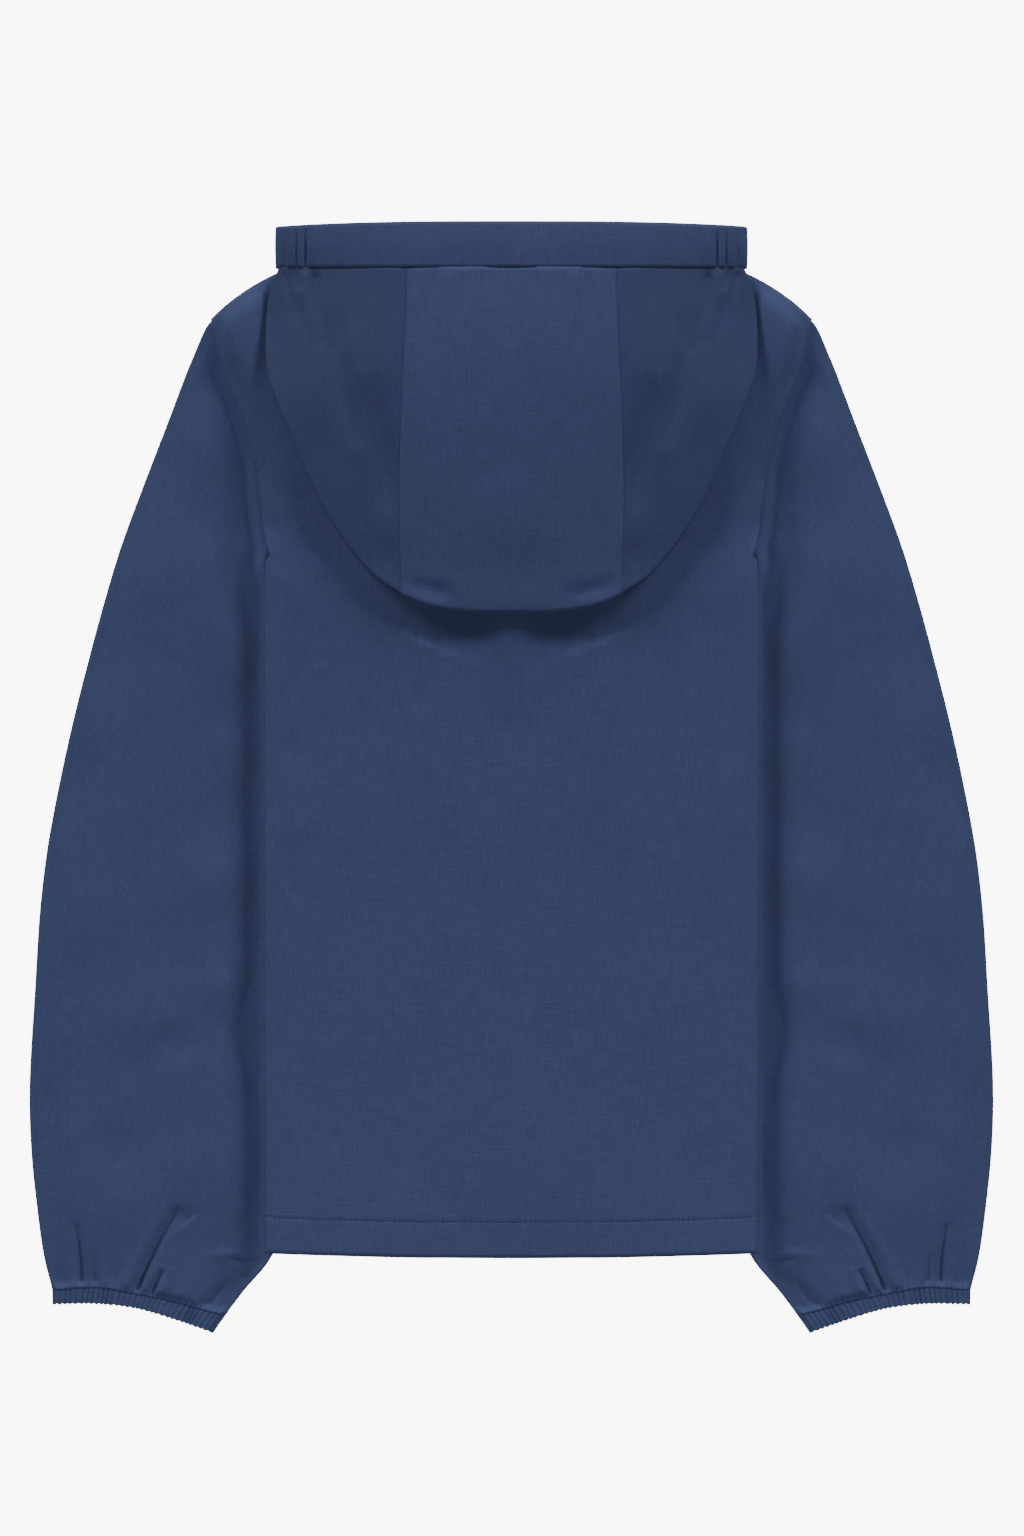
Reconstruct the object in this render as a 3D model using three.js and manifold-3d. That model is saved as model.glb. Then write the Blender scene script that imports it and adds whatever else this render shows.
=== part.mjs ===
// Kids raincoat laid face down on a table: the back and the hood lie up, the zipped front is underneath.
// Millimetres. +X is the wearer's right, +Y runs from the hem to the hood, +Z is up from the table.
import * as THREE from 'three';
import Module from 'manifold-3d';

// The cloth and how its layers lie on each other
const cloth = 1.2;
const seam = 0.4;
const layer = cloth + seam;
const hemExtra = 0.5;
const hemDepth = 20;
const fade = 16; // how far a layer above takes to settle past an edge below
const looseness = 3.4; // the most that two layers stand apart
const backLevel = 7.6; // the back bridges the layers under it at about this height
const hemLevel = 7; // and its hem at this one
const bridgeBlend = 1; // how softly it comes off them
const shoulderFade = 80; // the back comes down to the shoulder seam over this length
const armholeDrop = 0.6; // and by this share to the sleeve's head at the armhole

// The body
const chestFold = 133.1; // from the middle to the side fold, where back and front turn in
const sideSeamX = 48.7; // the side seams lie this far from the middle, between the layers
const hemMiddleY = -264;
const hemSideY = -261.3;
const tipY = 252.5; // the shoulder tip, where the armhole starts
const neckPointX = 87.7;
const neckPointY = 294.8;
const napeY = 275.6;
const frontNeckY = 220;
const zipGap = 4; // from the middle to each front edge
const zipLift = 2.6; // the front stands this far off the table along the zip

// Armhole seam, from the shoulder tip to the side fold
const armhole = [
  { x: 131.2, y: 120.5 },
  { x: 134.5, y: 132 },
  { x: 136.7, y: 147.4 },
  { x: 140, y: 174.4 },
  { x: 142.7, y: 184.3 },
  { x: 148.2, y: 203 },
  { x: 153.2, y: 214.5 },
  { x: 159.2, y: 226.6 },
  { x: 162, y: 236.5 },
  { x: 164.7, y: tipY },
];

// Shoulder seam, from the neck point to the tip
const shoulder = [
  { x: neckPointX, y: neckPointY },
  { x: 136.7, y: 273.4 },
  { x: 153.7, y: 262.4 },
  { x: 161.4, y: 255.8 },
  { x: 164.7, y: tipY },
];

// Rows of the body by the height of their edge. turned is the angle of the side fold, back is the
// share of the turned-in cloth that the row has.
// Its last rows turn less and less, up to the foot of the armhole.
const bodyRows = [
  { y: hemSideY, turned: 180, back: 1 },
  { y: hemSideY + hemDepth, turned: 180, back: 1 },
  { y: -236, turned: 180, back: 1 },
  { y: -140, turned: 180, back: 1 },
  { y: -90, turned: 180, back: 1 },
  { y: -40, turned: 180, back: 1 },
  { y: 45, turned: 180, back: 1 },
  { y: 75, turned: 180, back: 1 },
  { y: 97.4, turned: 180, back: 1 },
  { y: 105, turned: 180, back: 0.67 },
  { y: 112, turned: 180, back: 0.36 },
  { y: 117.5, turned: 180, back: 0.02 },
  { y: 119, turned: 90, back: 0 },
  { y: 120.5, turned: 0, back: 0 },
  { y: 132, turned: 0, back: 0 },
  { y: 147.4, turned: 0, back: 0 },
  { y: 165, turned: 0, back: 0 },
  { y: 203, turned: 0, back: 0 },
  { y: 226.6, turned: 0, back: 0 },
  { y: 240, turned: 0, back: 0 },
  { y: tipY, turned: 0, back: 0 },
];

// The sleeve's four edges: over the arm, under the arm, the head inside the armhole and the cuff line
const overArm = [
  { x: 160, y: 254.5 },
  { x: 166.5, y: 248.5 },
  { x: 175.2, y: 229.4 },
  { x: 190, y: 190.9 },
  { x: 202.7, y: 157.9 },
  { x: 214.8, y: 124.9 },
  { x: 224.7, y: 91.9 },
  { x: 233.5, y: 58.9 },
  { x: 241.7, y: 25.9 },
  { x: 248.9, y: -7.1 },
  { x: 254.9, y: -40.1 },
  { x: 258.8, y: -73.1 },
  { x: 261.6, y: -117 },
  { x: 264.6, y: -172.1 },
  { x: 263.7, y: -205.1 },
  { x: 260.4, y: -238.1 },
  { x: 256.6, y: -264.6 },
  { x: 252.2, y: -282 },
];
const underArm = [
  { x: 48.7, y: 104 },
  { x: 75, y: -18 },
  { x: 102, y: -140 },
  { x: 122, y: -232 },
  { x: 131, y: -262 },
  { x: 147.7, y: -283 },
  { x: 157.4, y: -295.8 },
];
const sleeveHead = [
  { x: 160, y: 254.5 },
  { x: 154, y: 226 },
  { x: 143, y: 202 },
  { x: 134.8, y: 174 },
  { x: 131.5, y: 147 },
  { x: 126.5, y: 132 },
  { x: 100, y: 119 },
  { x: 75, y: 111.5 },
  { x: 48.7, y: 104 },
];
const cuffLine = [
  { x: 252.2, y: -282 },
  { x: 228, y: -280.6 },
  { x: 207.6, y: -283.8 },
  { x: 184, y: -288.6 },
  { x: 168, y: -293.2 },
  { x: 157.4, y: -295.8 },
];
const cuffEdge = [
  { x: 252, y: -289.6 },
  { x: 228, y: -289.4 },
  { x: 206, y: -292 },
  { x: 184, y: -298.4 },
  { x: 164.2, y: -305.25 },
];
const sleeveRows = [
  0, 0.022, 0.045, 0.09, 0.15, 0.22, 0.3, 0.38, 0.46, 0.54, 0.62, 0.7, 0.77, 0.84, 0.9, 0.95, 1,
];
const cuffRows = [0.05, 0.35, 0.7, 1]; // shares from the cuff line to the edge
const cuffGathers = 32;
const cuffWave = 0.5;
const cuffRise = 1.4; // the casing's belly over its lower layer

// The largest folds that run up from the cuff: ridges from one point to another
const sleeveFolds = [
  { x1: 236, y1: -281, x2: 239, y2: -245, width: 7, height: 1.1 },
  { x1: 206, y1: -284, x2: 188, y2: -240, width: 8, height: 1.5 },
  { x1: 176, y1: -290, x2: 154, y2: -274, width: 6, height: 1.2 },
];

// Hood: half its outline, from the corner of the mouth round the crown to the middle
const hoodOutline = [
  { x: 133, y: 267 },
  { x: 134.7, y: 252 },
  { x: 135, y: 236 },
  { x: 133.6, y: 220 },
  { x: 120.7, y: 186.5 },
  { x: 107.5, y: 156.2 },
  { x: 98.2, y: 139.2 },
  { x: 85, y: 120.5 },
  { x: 73.4, y: 108.4 },
  { x: 60.2, y: 99.6 },
];
const crownOutline = [
  { x: 59.6, y: 99.3 },
  { x: 47, y: 94.1 },
  { x: 28.3, y: 90.8 },
  { x: 0, y: 90 },
];
const hoodSeamX = 57.5; // the centre panel's seams, at the band
const hoodSeamBow = 4; // they bow out this far on the way down
const hoodSeamNeckX = 35; // and end this far from the middle at the neck
const hoodMouthX = 127.5; // where the side panels meet the end of the band's gathers
const crownRise = 0.66; // the crown's edge stands a little higher
const hoodSideSections = 9;
const hoodCentreSections = 8;

// Band round the face opening
const bandTopY = 305.25;
const bandCornerY = 302.2;
const bandSeamY = 279.4;
const bandHalf = 130.1;
const bandWidth = 25;
const bandGatherX = 115.6; // the innermost of the ridges at each end, where the elastic pulls
const bandGatherPitch = 4.7;
const bandGathers = 2;
const bandShares = [0, 0.33, 0.67, 1];

// Zip
const tape = 0.9;
const tapeWidth = 12.5;
const tapeSeam = 0.3; // between the front and its tape
const tapeRows = [-258, -200, -100, 0, 100, 180];
const zipTopY = 216;
const pullAxis = { y: 208, z: 0.75 };
const pullHeight = 0.8;
const lug = { width: 0.9, depth: 1.6, height: 1.6, x: 1.9, z: 1.15 };
const sliderPlate = { height: 2, z: 1.8 };

const turnSteps = 3; // steps round a fold
const panelSteps = 8;
const hoodSteps = 8;
const hoodBackSteps = 7;
const edgeMargin = 1.2; // an edge with no fold keeps its last columns within this

// Smooth step from 0 at a to 1 at b
function rise(value, a, b) {
  const t = Math.min(1, Math.max(0, (value - a) / (b - a)));
  return t * t * (3 - 2 * t);
}

function fall(value, a, b) {
  return 1 - rise(value, a, b);
}

// Straight-line reading of a table by one named column
function read(table, key, wanted, value) {
  const up = table[table.length - 1][key] > table[0][key];
  const rows = up ? table : [...table].reverse();
  if (value <= rows[0][key]) return rows[0][wanted];
  for (let i = 1; i < rows.length; i += 1) {
    if (value <= rows[i][key]) {
      const share = (value - rows[i - 1][key]) / (rows[i][key] - rows[i - 1][key]);
      return THREE.MathUtils.lerp(rows[i - 1][wanted], rows[i][wanted], share);
    }
  }
  return rows[rows.length - 1][wanted];
}

function smoothCurve(table) {
  const points = table.map((row) => new THREE.Vector3(row.x, row.y, 0));
  return new THREE.CatmullRomCurve3(points, false, 'centripetal');
}

// Where the body's edge lies at a height: its side fold, its armhole, or past the hem the sleeve's own edge
function edgeX(y) {
  if (y < hemSideY) return read(underArm, 'y', 'x', y);
  return y < armhole[0].y ? chestFold + cloth / 2 : read(armhole, 'y', 'x', y);
}

function underarmY(x) {
  return 97.4 + (Math.abs(x) - sideSeamX) * 0.28;
}

function hemY(x) {
  return hemMiddleY + (hemSideY - hemMiddleY) * (x / chestFold) ** 2;
}

// How much of the turned-in side, and of the sleeve, lies under a point
function turnedIn(x, y) {
  const top = underarmY(x) + 2;
  return rise(Math.abs(x), sideSeamX - 2 - fade, sideSeamX - 2) * fall(y, top, top + fade);
}

// The turned-in sides keep the sleeve's height all over, so that they lie even
function sleeveBelow(x, y) {
  const ax = Math.abs(x);
  const top = underarmY(x) + 9;
  const low = rise(ax, sideSeamX - 2 - fade, sideSeamX - 2) * fall(y, top, top + fade);
  const head = edgeX(y) - 9;
  const high = rise(ax, head - fade, head) * rise(y, 95, 112);
  return low + high - low * high;
}

function liftAtZip(x, y) {
  return zipLift * fall(Math.abs(x), 8, 50) * fall(y, 232, 278);
}

function hemThickness(y) {
  return cloth + hemExtra * fall(y, hemSideY + hemDepth, hemSideY + hemDepth + 4);
}

// Lowest face of each layer above the table
function frontZ(x, y) {
  return liftAtZip(x, y);
}

function frontTurnZ(x, y) {
  return frontZ(x, y) + layer;
}

function underSleeve(x, y) {
  const edge = edgeX(y);
  return fall(Math.abs(x), edge + 1.5, edge + 14) * rise(y, hemSideY - 22, hemSideY - 6);
}

function sleeveLowerZ(x, y) {
  return underSleeve(x, y) * layer * (1 + turnedIn(x, y));
}

function foldHeight(x, y) {
  const at = new THREE.Vector3(Math.abs(x), y, 0);
  let height = 0;
  for (const fold of sleeveFolds) {
    const foot = new THREE.Vector3(fold.x1, fold.y1, 0);
    const line = new THREE.Line3(foot, new THREE.Vector3(fold.x2, fold.y2, 0));
    const share = line.closestPointToPointParameter(at, true);
    const away = line.at(share, new THREE.Vector3()).distanceTo(at);
    height += fold.height * (1 - share) * Math.exp(-((away / fold.width) ** 2));
  }
  return height;
}

function sleevePuff(x, y) {
  const ax = Math.abs(x);
  const edge = edgeX(y);
  const outer = read(overArm, 'y', 'x', y);
  const channel = 0.6 * rise(ax, edge + 4, edge + 14) + 0.4 * rise(ax, edge + 10, edge + 44);
  const sides = channel * rise(outer - ax, 0, 28);
  const full = looseness - 1.4 * rise(-y, 215, 285);
  return sides * Math.min(looseness, full * 0.72 + foldHeight(x, y));
}

function sleeveUpperZ(x, y) {
  return sleeveLowerZ(x, y) + layer + sleevePuff(x, y);
}

function stackZ(x, y) {
  const tapes = (tape + tapeSeam) * fall(Math.abs(x), 14, 24) * fall(y, 222, 250);
  return liftAtZip(x, y) + tapes + layer + 2 * layer * sleeveBelow(x, y);
}

function backTurnZ(x, y) {
  return stackZ(x, y) + layer * turnedIn(x, y);
}

// How far cloth lifts off what lies at a height, to pass over it at a level
function bridge(level, height) {
  const drop = level - height;
  return (drop + Math.hypot(drop, bridgeBlend)) / 2;
}

// The back comes down to the shoulder seam, to the armhole seam and to its hem
function backZ(x, y) {
  const ax = Math.abs(x);
  const flat = backTurnZ(x, y) + (hemThickness(y) + seam) * turnedIn(x, y);
  const offHem = rise(y - hemY(x), -1, 60);
  const ease = THREE.MathUtils.lerp(bridge(hemLevel, flat), bridge(backLevel, flat), offHem);
  const offShoulder = rise(read(shoulder, 'x', 'y', ax) - y, -14, shoulderFade);
  const atArmhole = rise(y, 119, 140) * fall(edgeX(y) - ax, 1, 18);
  return flat + ease * offShoulder * (1 - armholeDrop * atArmhole);
}

function hoodLowerZ(x, y) {
  return backZ(x, y) + layer + looseness * 0.9 * fall(y, 190, 272);
}

function hoodUpperZ(x, y) {
  const crown = Math.hypot(x / 150, (y - 200) / 125);
  return hoodLowerZ(x, y) + layer + looseness * 0.85 * fall(crown, 0.45, 1.05) + crownRise * fall(y, 95, 120);
}

// A wall of cloth from a grid of middle points with their outward normals and thicknesses
function wall(grid, closed = false) {
  const rows = grid.length;
  const columns = grid[0].length;
  const spread = [];
  for (const sign of [0.5, -0.5]) {
    for (const row of grid) {
      for (const point of row) {
        spread.push(point.at.clone().addScaledVector(point.out, sign * point.thick));
      }
    }
  }
  const outer = (j, i) => j * columns + (i % columns);
  const inner = (j, i) => rows * columns + outer(j, i);
  const faces = [];
  const quad = (a, b, c, d) => faces.push(a, b, c, a, c, d);
  const last = closed ? columns : columns - 1;
  for (let j = 0; j < rows - 1; j += 1) {
    for (let i = 0; i < last; i += 1) {
      quad(outer(j, i), outer(j, i + 1), outer(j + 1, i + 1), outer(j + 1, i));
      quad(inner(j, i), inner(j + 1, i), inner(j + 1, i + 1), inner(j, i + 1));
    }
    if (!closed) {
      quad(outer(j, 0), outer(j + 1, 0), inner(j + 1, 0), inner(j, 0));
      quad(outer(j, last), inner(j, last), inner(j + 1, last), outer(j + 1, last));
    }
  }
  for (let i = 0; i < last; i += 1) {
    quad(outer(0, i), inner(0, i), inner(0, i + 1), outer(0, i + 1));
    quad(outer(rows - 1, i), outer(rows - 1, i + 1), inner(rows - 1, i + 1), inner(rows - 1, i));
  }
  return solid(spread, faces);
}

// A geometry whose faces point out, whichever way the grid ran
function solid(points, faces) {
  let volume = 0;
  for (let k = 0; k < faces.length; k += 3) {
    const [a, b, c] = [points[faces[k]], points[faces[k + 1]], points[faces[k + 2]]];
    volume += a.dot(b.clone().cross(c));
  }
  const geometry = new THREE.BufferGeometry();
  geometry.setFromPoints(points);
  geometry.setIndex(volume < 0 ? [...faces].reverse() : faces);
  geometry.computeVertexNormals();
  return geometry;
}

function point(x, y, z, out, thick = cloth) {
  return { at: new THREE.Vector3(x, y, z), out, thick };
}

const up = new THREE.Vector3(0, 0, 1);
const down = new THREE.Vector3(0, 0, -1);

// Columns of a panel: as many inside the neck point as outside it
function panelColumn(startX, endX, i) {
  const half = panelSteps / 2;
  const neckX = (endX * neckPointX) / (armhole[armhole.length - 1].x - edgeMargin);
  if (i <= half) return startX + (i / half) * (neckX - startX);
  return neckX + ((i - half) / half) * (endX - neckX);
}

// One half of a body row, from the middle or the zip out to the side and round its fold
function bodyHalf(row, topAt, startX, side, facing, mainZ, turnZ, thick) {
  const edge = row.turned > 0 ? chestFold : Math.min(chestFold - 0.2, edgeX(row.y));
  const sideX = row.y > armhole[0].y ? edgeX(row.y) : edge;
  const rowShare = (row.y - hemSideY) / (tipY - hemSideY);
  const half = [];
  const outward = facing > 0 ? up : down;
  const reach = sideX - (row.turned > 0 ? 0 : edgeMargin);
  for (let i = 0; i <= panelSteps; i += 1) {
    const x = panelColumn(startX, reach, i);
    const low = hemY(x);
    const top = topAt(panelColumn(startX, armhole[armhole.length - 1].x - edgeMargin, i));
    const y = i === panelSteps ? row.y : low + rowShare * (top - low);
    half.push(point(side * x, y, mainZ(x, y) + thick / 2, outward, thick));
  }
  const main = mainZ(sideX, row.y) + thick / 2;
  const under = turnZ(sideX, row.y) + thick / 2;
  const radius = Math.abs(main - under) / 2;
  const centre = (main + under) / 2;
  for (let i = 1; i <= turnSteps; i += 1) {
    const angle = THREE.MathUtils.degToRad((row.turned * i) / turnSteps);
    const spill = row.turned > 0 ? 0 : (edgeMargin * i) / (turnSteps + 4);
    const x = reach + spill + radius * Math.sin(angle);
    const z = row.turned > 0 ? centre + facing * radius * Math.cos(angle) : main;
    const out = new THREE.Vector3(side * Math.sin(angle), 0, facing * Math.cos(angle));
    half.push(point(side * x, row.y, z, out, thick));
  }
  const lastTurn = half[half.length - 1];
  for (let i = 1; i <= 3; i += 1) {
    if (row.turned === 180) {
      const x = chestFold - (i / 3) * Math.max(0.6, row.back * (chestFold - sideSeamX));
      half.push(point(side * x, row.y, turnZ(x, row.y) + thick / 2, facing > 0 ? down : up, thick));
    } else {
      const step = row.turned > 0 ? [0, 0, -facing * 0.06 * i] : [side * 0.14 * i, 0, 0];
      half.push({ at: lastTurn.at.clone().add(new THREE.Vector3(...step)), out: lastTurn.out, thick });
    }
  }
  return half;
}

function backTop(x) {
  if (x < neckPointX) return napeY + (neckPointY - napeY) * (x / neckPointX) ** 2;
  return read(shoulder, 'x', 'y', x);
}

function frontTop(x) {
  if (x < neckPointX) return frontNeckY + (neckPointY - frontNeckY) * (x / neckPointX) ** 2.2;
  return read(shoulder, 'x', 'y', x);
}

function backPanel() {
  const grid = bodyRows.map((row) => {
    const thick = hemThickness(row.y);
    const right = bodyHalf(row, backTop, 0, 1, 1, backZ, backTurnZ, thick);
    const left = bodyHalf(row, backTop, 0, -1, 1, backZ, backTurnZ, thick);
    return [...left.reverse(), ...right.slice(1)];
  });
  return wall(grid);
}

function frontPanel(side) {
  const half = (row) => bodyHalf(row, frontTop, zipGap, side, -1, frontZ, frontTurnZ, cloth);
  return wall(bodyRows.map(half));
}

// A flattened tube's ring: over the top from one edge to the other, and back underneath
function flatRing(place, width, across, side, upperZ, lowerZ, topShares, lowShares) {
  const ring = [];
  const edgeRadius = (share) => {
    const at = place(share);
    return (upperZ(at, share) - lowerZ(at, share)) / 2;
  };
  const start = edgeRadius(0) / width;
  const end = 1 - edgeRadius(1) / width;
  const add = (at, z, out) => ring.push(point(side * at.x, at.y, z, out));
  const turn = (share, sign, from) => {
    const at = place(share);
    const radius = edgeRadius(share);
    const middle = (upperZ(at, share) + lowerZ(at, share)) / 2;
    for (let i = 1; i < turnSteps; i += 1) {
      const angle = (Math.PI * i) / turnSteps - Math.PI / 2;
      const lift = from * Math.sin(angle);
      const run = sign * Math.cos(angle);
      const out = new THREE.Vector3(side * across.x * run, across.y * run, lift);
      add(at.clone().addScaledVector(across, run * radius), middle + lift * radius, out);
    }
  };
  for (const step of topShares) {
    const share = THREE.MathUtils.lerp(start, end, step);
    const at = place(share);
    add(at, upperZ(at, share), up);
  }
  turn(end, 1, -1);
  for (const step of [...lowShares].reverse()) {
    const share = THREE.MathUtils.lerp(start, end, step);
    const at = place(share);
    add(at, lowerZ(at, share), down);
  }
  turn(start, -1, 1);
  return ring;
}

// A point of the sleeve's patch between its four edges
function patchPoint(edges, along, across) {
  const [over, under, head, end] = edges;
  const mix = (a, b, share) => a.clone().multiplyScalar(1 - share).addScaledVector(b, share);
  const ruled = mix(over.getPointAt(along), under.getPointAt(along), across);
  ruled.add(mix(head.getPointAt(across), end.getPointAt(across), along));
  const top = mix(over.getPointAt(0), under.getPointAt(0), across);
  const low = mix(over.getPointAt(1), under.getPointAt(1), across);
  return ruled.sub(mix(top, low, along));
}

function evenly(count) {
  return Array.from({ length: count + 1 }, (_, i) => i / count);
}

// Columns across a sleeve row: close together where it drops off the body's edge
function sleeveShares(place, width) {
  let edge = 1;
  while (edge > 0.08 && Math.abs(place(edge).x) < edgeX(place(edge).y) + 1.5) edge -= 0.01;
  edge = Math.min(edge, 0.97);
  const foot = Math.max(edge * 0.6, edge - 13 / width);
  const visible = evenly(6).map((share) => share * foot);
  const drop = [THREE.MathUtils.lerp(foot, edge, 0.5), edge];
  const hidden = [0.33, 0.67, 1].map((share) => THREE.MathUtils.lerp(edge, 1, share));
  return [...visible, ...drop, ...hidden];
}

function sleeve(side) {
  const edges = [smoothCurve(overArm), smoothCurve(underArm), smoothCurve(sleeveHead), smoothCurve(cuffLine)];
  const rows = [];
  for (const along of sleeveRows) {
    const place = (share) => patchPoint(edges, along, share);
    const across = place(1).sub(place(0));
    const width = across.length();
    across.normalize();
    const upper = (at) => sleeveUpperZ(at.x, at.y) + cloth / 2;
    const lower = (at) => sleeveLowerZ(at.x, at.y) + cloth / 2;
    const shares = sleeveShares(place, width);
    rows.push(flatRing(place, width, across, side, upper, lower, shares, shares));
  }
  return wall(rows, true);
}

function cuff(side) {
  const line = smoothCurve(cuffLine);
  const edge = smoothCurve(cuffEdge);
  const rows = [];
  for (const drop of cuffRows) {
    const place = (share) => line.getPointAt(share).lerp(edge.getPointAt(share), drop);
    const across = place(1).sub(place(0));
    const width = across.length();
    across.normalize();
    const upper = (at, share) => {
      const wave = Math.cos(share * cuffGathers * 2 * Math.PI);
      const ends = rise(share, 0.02, 0.1) * fall(share, 0.9, 0.98);
      return cloth / 2 + layer + ends * (cuffRise + cuffWave * wave);
    };
    const lower = () => cloth / 2;
    rows.push(flatRing(place, width, across, side, upper, lower, evenly(cuffGathers * 2), evenly(6)));
  }
  return wall(rows, true);
}

// One section of the hood: from the band over the top, round the crown fold and back to the neck
function hoodSection(start, rim, neck, bow) {
  const run = rim.clone().sub(start).normalize();
  const radius = (hoodUpperZ(rim.x, rim.y) - hoodLowerZ(rim.x, rim.y)) / 2;
  const turnAt = rim.clone().addScaledVector(run, -radius - cloth / 2);
  const section = [];
  for (let i = 0; i <= hoodSteps; i += 1) {
    const share = i / hoodSteps;
    const at = start.clone().lerp(turnAt, share);
    const x = at.x + bow * Math.sin(Math.PI * share) * share;
    section.push(point(x, at.y, hoodUpperZ(x, at.y) + cloth / 2, up));
  }
  const high = hoodUpperZ(turnAt.x, turnAt.y) + cloth / 2;
  const low = hoodLowerZ(turnAt.x, turnAt.y) + cloth / 2;
  for (let i = 1; i < turnSteps; i += 1) {
    const angle = Math.PI / 2 - (Math.PI * i) / turnSteps;
    const reach = ((high - low) / 2) * Math.cos(angle);
    const out = new THREE.Vector3(run.x * Math.cos(angle), run.y * Math.cos(angle), Math.sin(angle));
    const z = (high + low) / 2 + ((high - low) / 2) * Math.sin(angle);
    section.push(point(turnAt.x + run.x * reach, turnAt.y + run.y * reach, z, out));
  }
  for (let i = 0; i <= hoodBackSteps; i += 1) {
    const at = turnAt.clone().lerp(neck, i / hoodBackSteps);
    section.push(point(at.x, at.y, hoodLowerZ(at.x, at.y) + cloth / 2, down));
  }
  return section;
}

function neckAt(x) {
  return new THREE.Vector3(x, backTop(Math.abs(x)) - 1, 0);
}

function hoodSide(side) {
  const rim = smoothCurve(hoodOutline);
  const grid = [];
  for (let k = 0; k <= hoodSideSections; k += 1) {
    const share = k / hoodSideSections;
    const startX = THREE.MathUtils.lerp(hoodMouthX, hoodSeamX + seam / 2, share);
    const start = new THREE.Vector3(startX, bandSeamY - seam, 0);
    const neckX = THREE.MathUtils.lerp(neckPointX - 2, hoodSeamNeckX + seam / 2, share);
    const section = hoodSection(start, rim.getPointAt(share), neckAt(neckX), hoodSeamBow * share);
    for (const at of section) {
      at.at.x *= side;
      at.out.x *= side;
    }
    grid.push(section);
  }
  return wall(grid);
}

function hoodCentre() {
  const half = smoothCurve(crownOutline);
  const grid = [];
  for (let k = 0; k <= hoodCentreSections; k += 1) {
    const share = (2 * k) / hoodCentreSections - 1;
    const rim = half.getPointAt(1 - Math.abs(share));
    rim.x *= Math.sign(share);
    const start = new THREE.Vector3(share * (hoodSeamX - seam / 2), bandSeamY - seam, 0);
    const neck = neckAt(share * (hoodSeamNeckX - seam / 2));
    grid.push(hoodSection(start, rim, neck, hoodSeamBow * share));
  }
  return wall(grid);
}

// Band: from the zip up beside the neck, round the corner, over the top, and back to the zip
const bandCornerX = bandHalf - 3.6;

// Columns of the front's neck edge, which the band's under run follows
const frontEdge = Array.from({ length: panelSteps + 1 }, (_, i) => {
  const x = panelColumn(zipGap, armhole[armhole.length - 1].x - edgeMargin, i);
  return { x, y: frontTop(x) };
});

function bandUnder(x) {
  const seamY = read(frontEdge, 'x', 'y', Math.abs(x)) + 0.9;
  return { seamY, freeY: Math.min(seamY + bandWidth, bandCornerY - 1) };
}

function bandOver(x) {
  const share = Math.abs(x) / bandHalf;
  const free = bandTopY - (bandTopY - bandCornerY) * share ** 3;
  return { seamY: bandSeamY, freeY: free };
}

function bandRow(x, z, out, run) {
  return bandShares.map((share) => {
    return point(x, THREE.MathUtils.lerp(run.seamY, run.freeY, share), z(share), out);
  });
}

// Distance from the innermost gather, in gathers
function gatherCount(x) {
  return (Math.abs(x) - bandGatherX) / bandGatherPitch;
}

function bandTopZ(x, share) {
  const count = gatherCount(x);
  const pulled = rise(count, -0.8, -0.1) * fall(count, bandGathers - 0.2, bandGathers + 0.4);
  const gathers = 0.5 * pulled * Math.cos(count * 2 * Math.PI);
  const atSeam = hoodUpperZ(x, bandSeamY) + cloth / 2;
  const atFree = 3 * layer + cloth / 2;
  return THREE.MathUtils.lerp(atSeam, atFree, share) + gathers + 0.4;
}

// The corner of the band, from under to over, on one side
function bandTurn(side) {
  const low = bandUnder(bandCornerX);
  const high = bandOver(bandCornerX);
  const rows = [];
  for (let i = 1; i < turnSteps; i += 1) {
    const angle = (Math.PI * i) / turnSteps - Math.PI / 2;
    const run = {
      seamY: THREE.MathUtils.lerp(low.seamY, high.seamY, i / turnSteps),
      freeY: THREE.MathUtils.lerp(low.freeY, high.freeY, i / turnSteps),
    };
    const out = new THREE.Vector3(side * Math.cos(angle), 0, Math.sin(angle));
    rows.push(bandShares.map((share) => {
      const radius = (bandTopZ(bandCornerX, share) - cloth / 2) / 2;
      const x = bandCornerX + Math.min(radius, 3) * Math.cos(angle);
      const y = THREE.MathUtils.lerp(run.seamY, run.freeY, share);
      return point(side * x, y, cloth / 2 + radius + radius * Math.sin(angle), out);
    }));
  }
  return rows;
}

function hoodBand() {
  const edgeXs = frontEdge.map((row) => row.x);
  const underX = [3.4, 14, ...edgeXs.filter((x) => x > 14 && x < bandCornerX - 2), bandCornerX];
  const ridgeX = evenly(2 * bandGathers).map((share) => bandGatherX + share * bandGathers * bandGatherPitch);
  const overX = [0, 24, 48, 72, 94, 106, 112.5, ...ridgeX.filter((x) => x < bandCornerX - 1), bandCornerX];
  const under = (side) => underX.map((x) => {
    const lifted = () => liftAtZip(x, frontTop(x)) + cloth / 2;
    return bandRow(side * x, lifted, down, bandUnder(x));
  });
  const over = (side, columns) => columns.map((x) => {
    return bandRow(side * x, (share) => bandTopZ(x, share), up, bandOver(x));
  });
  return wall([
    ...under(1),
    ...bandTurn(1),
    ...over(1, overX).reverse(),
    ...over(-1, overX.slice(1)),
    ...bandTurn(-1).reverse(),
    ...under(-1).reverse(),
  ]);
}

function zipTape(side) {
  const grid = [];
  for (const y of [...tapeRows, zipTopY]) {
    grid.push([0.5, zipGap, 2 * zipGap, tapeWidth].map((x) => {
      return point(side * x, y, liftAtZip(x, y) + cloth + tapeSeam + tape / 2, up, tape);
    }));
  }
  return wall(grid);
}

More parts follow.
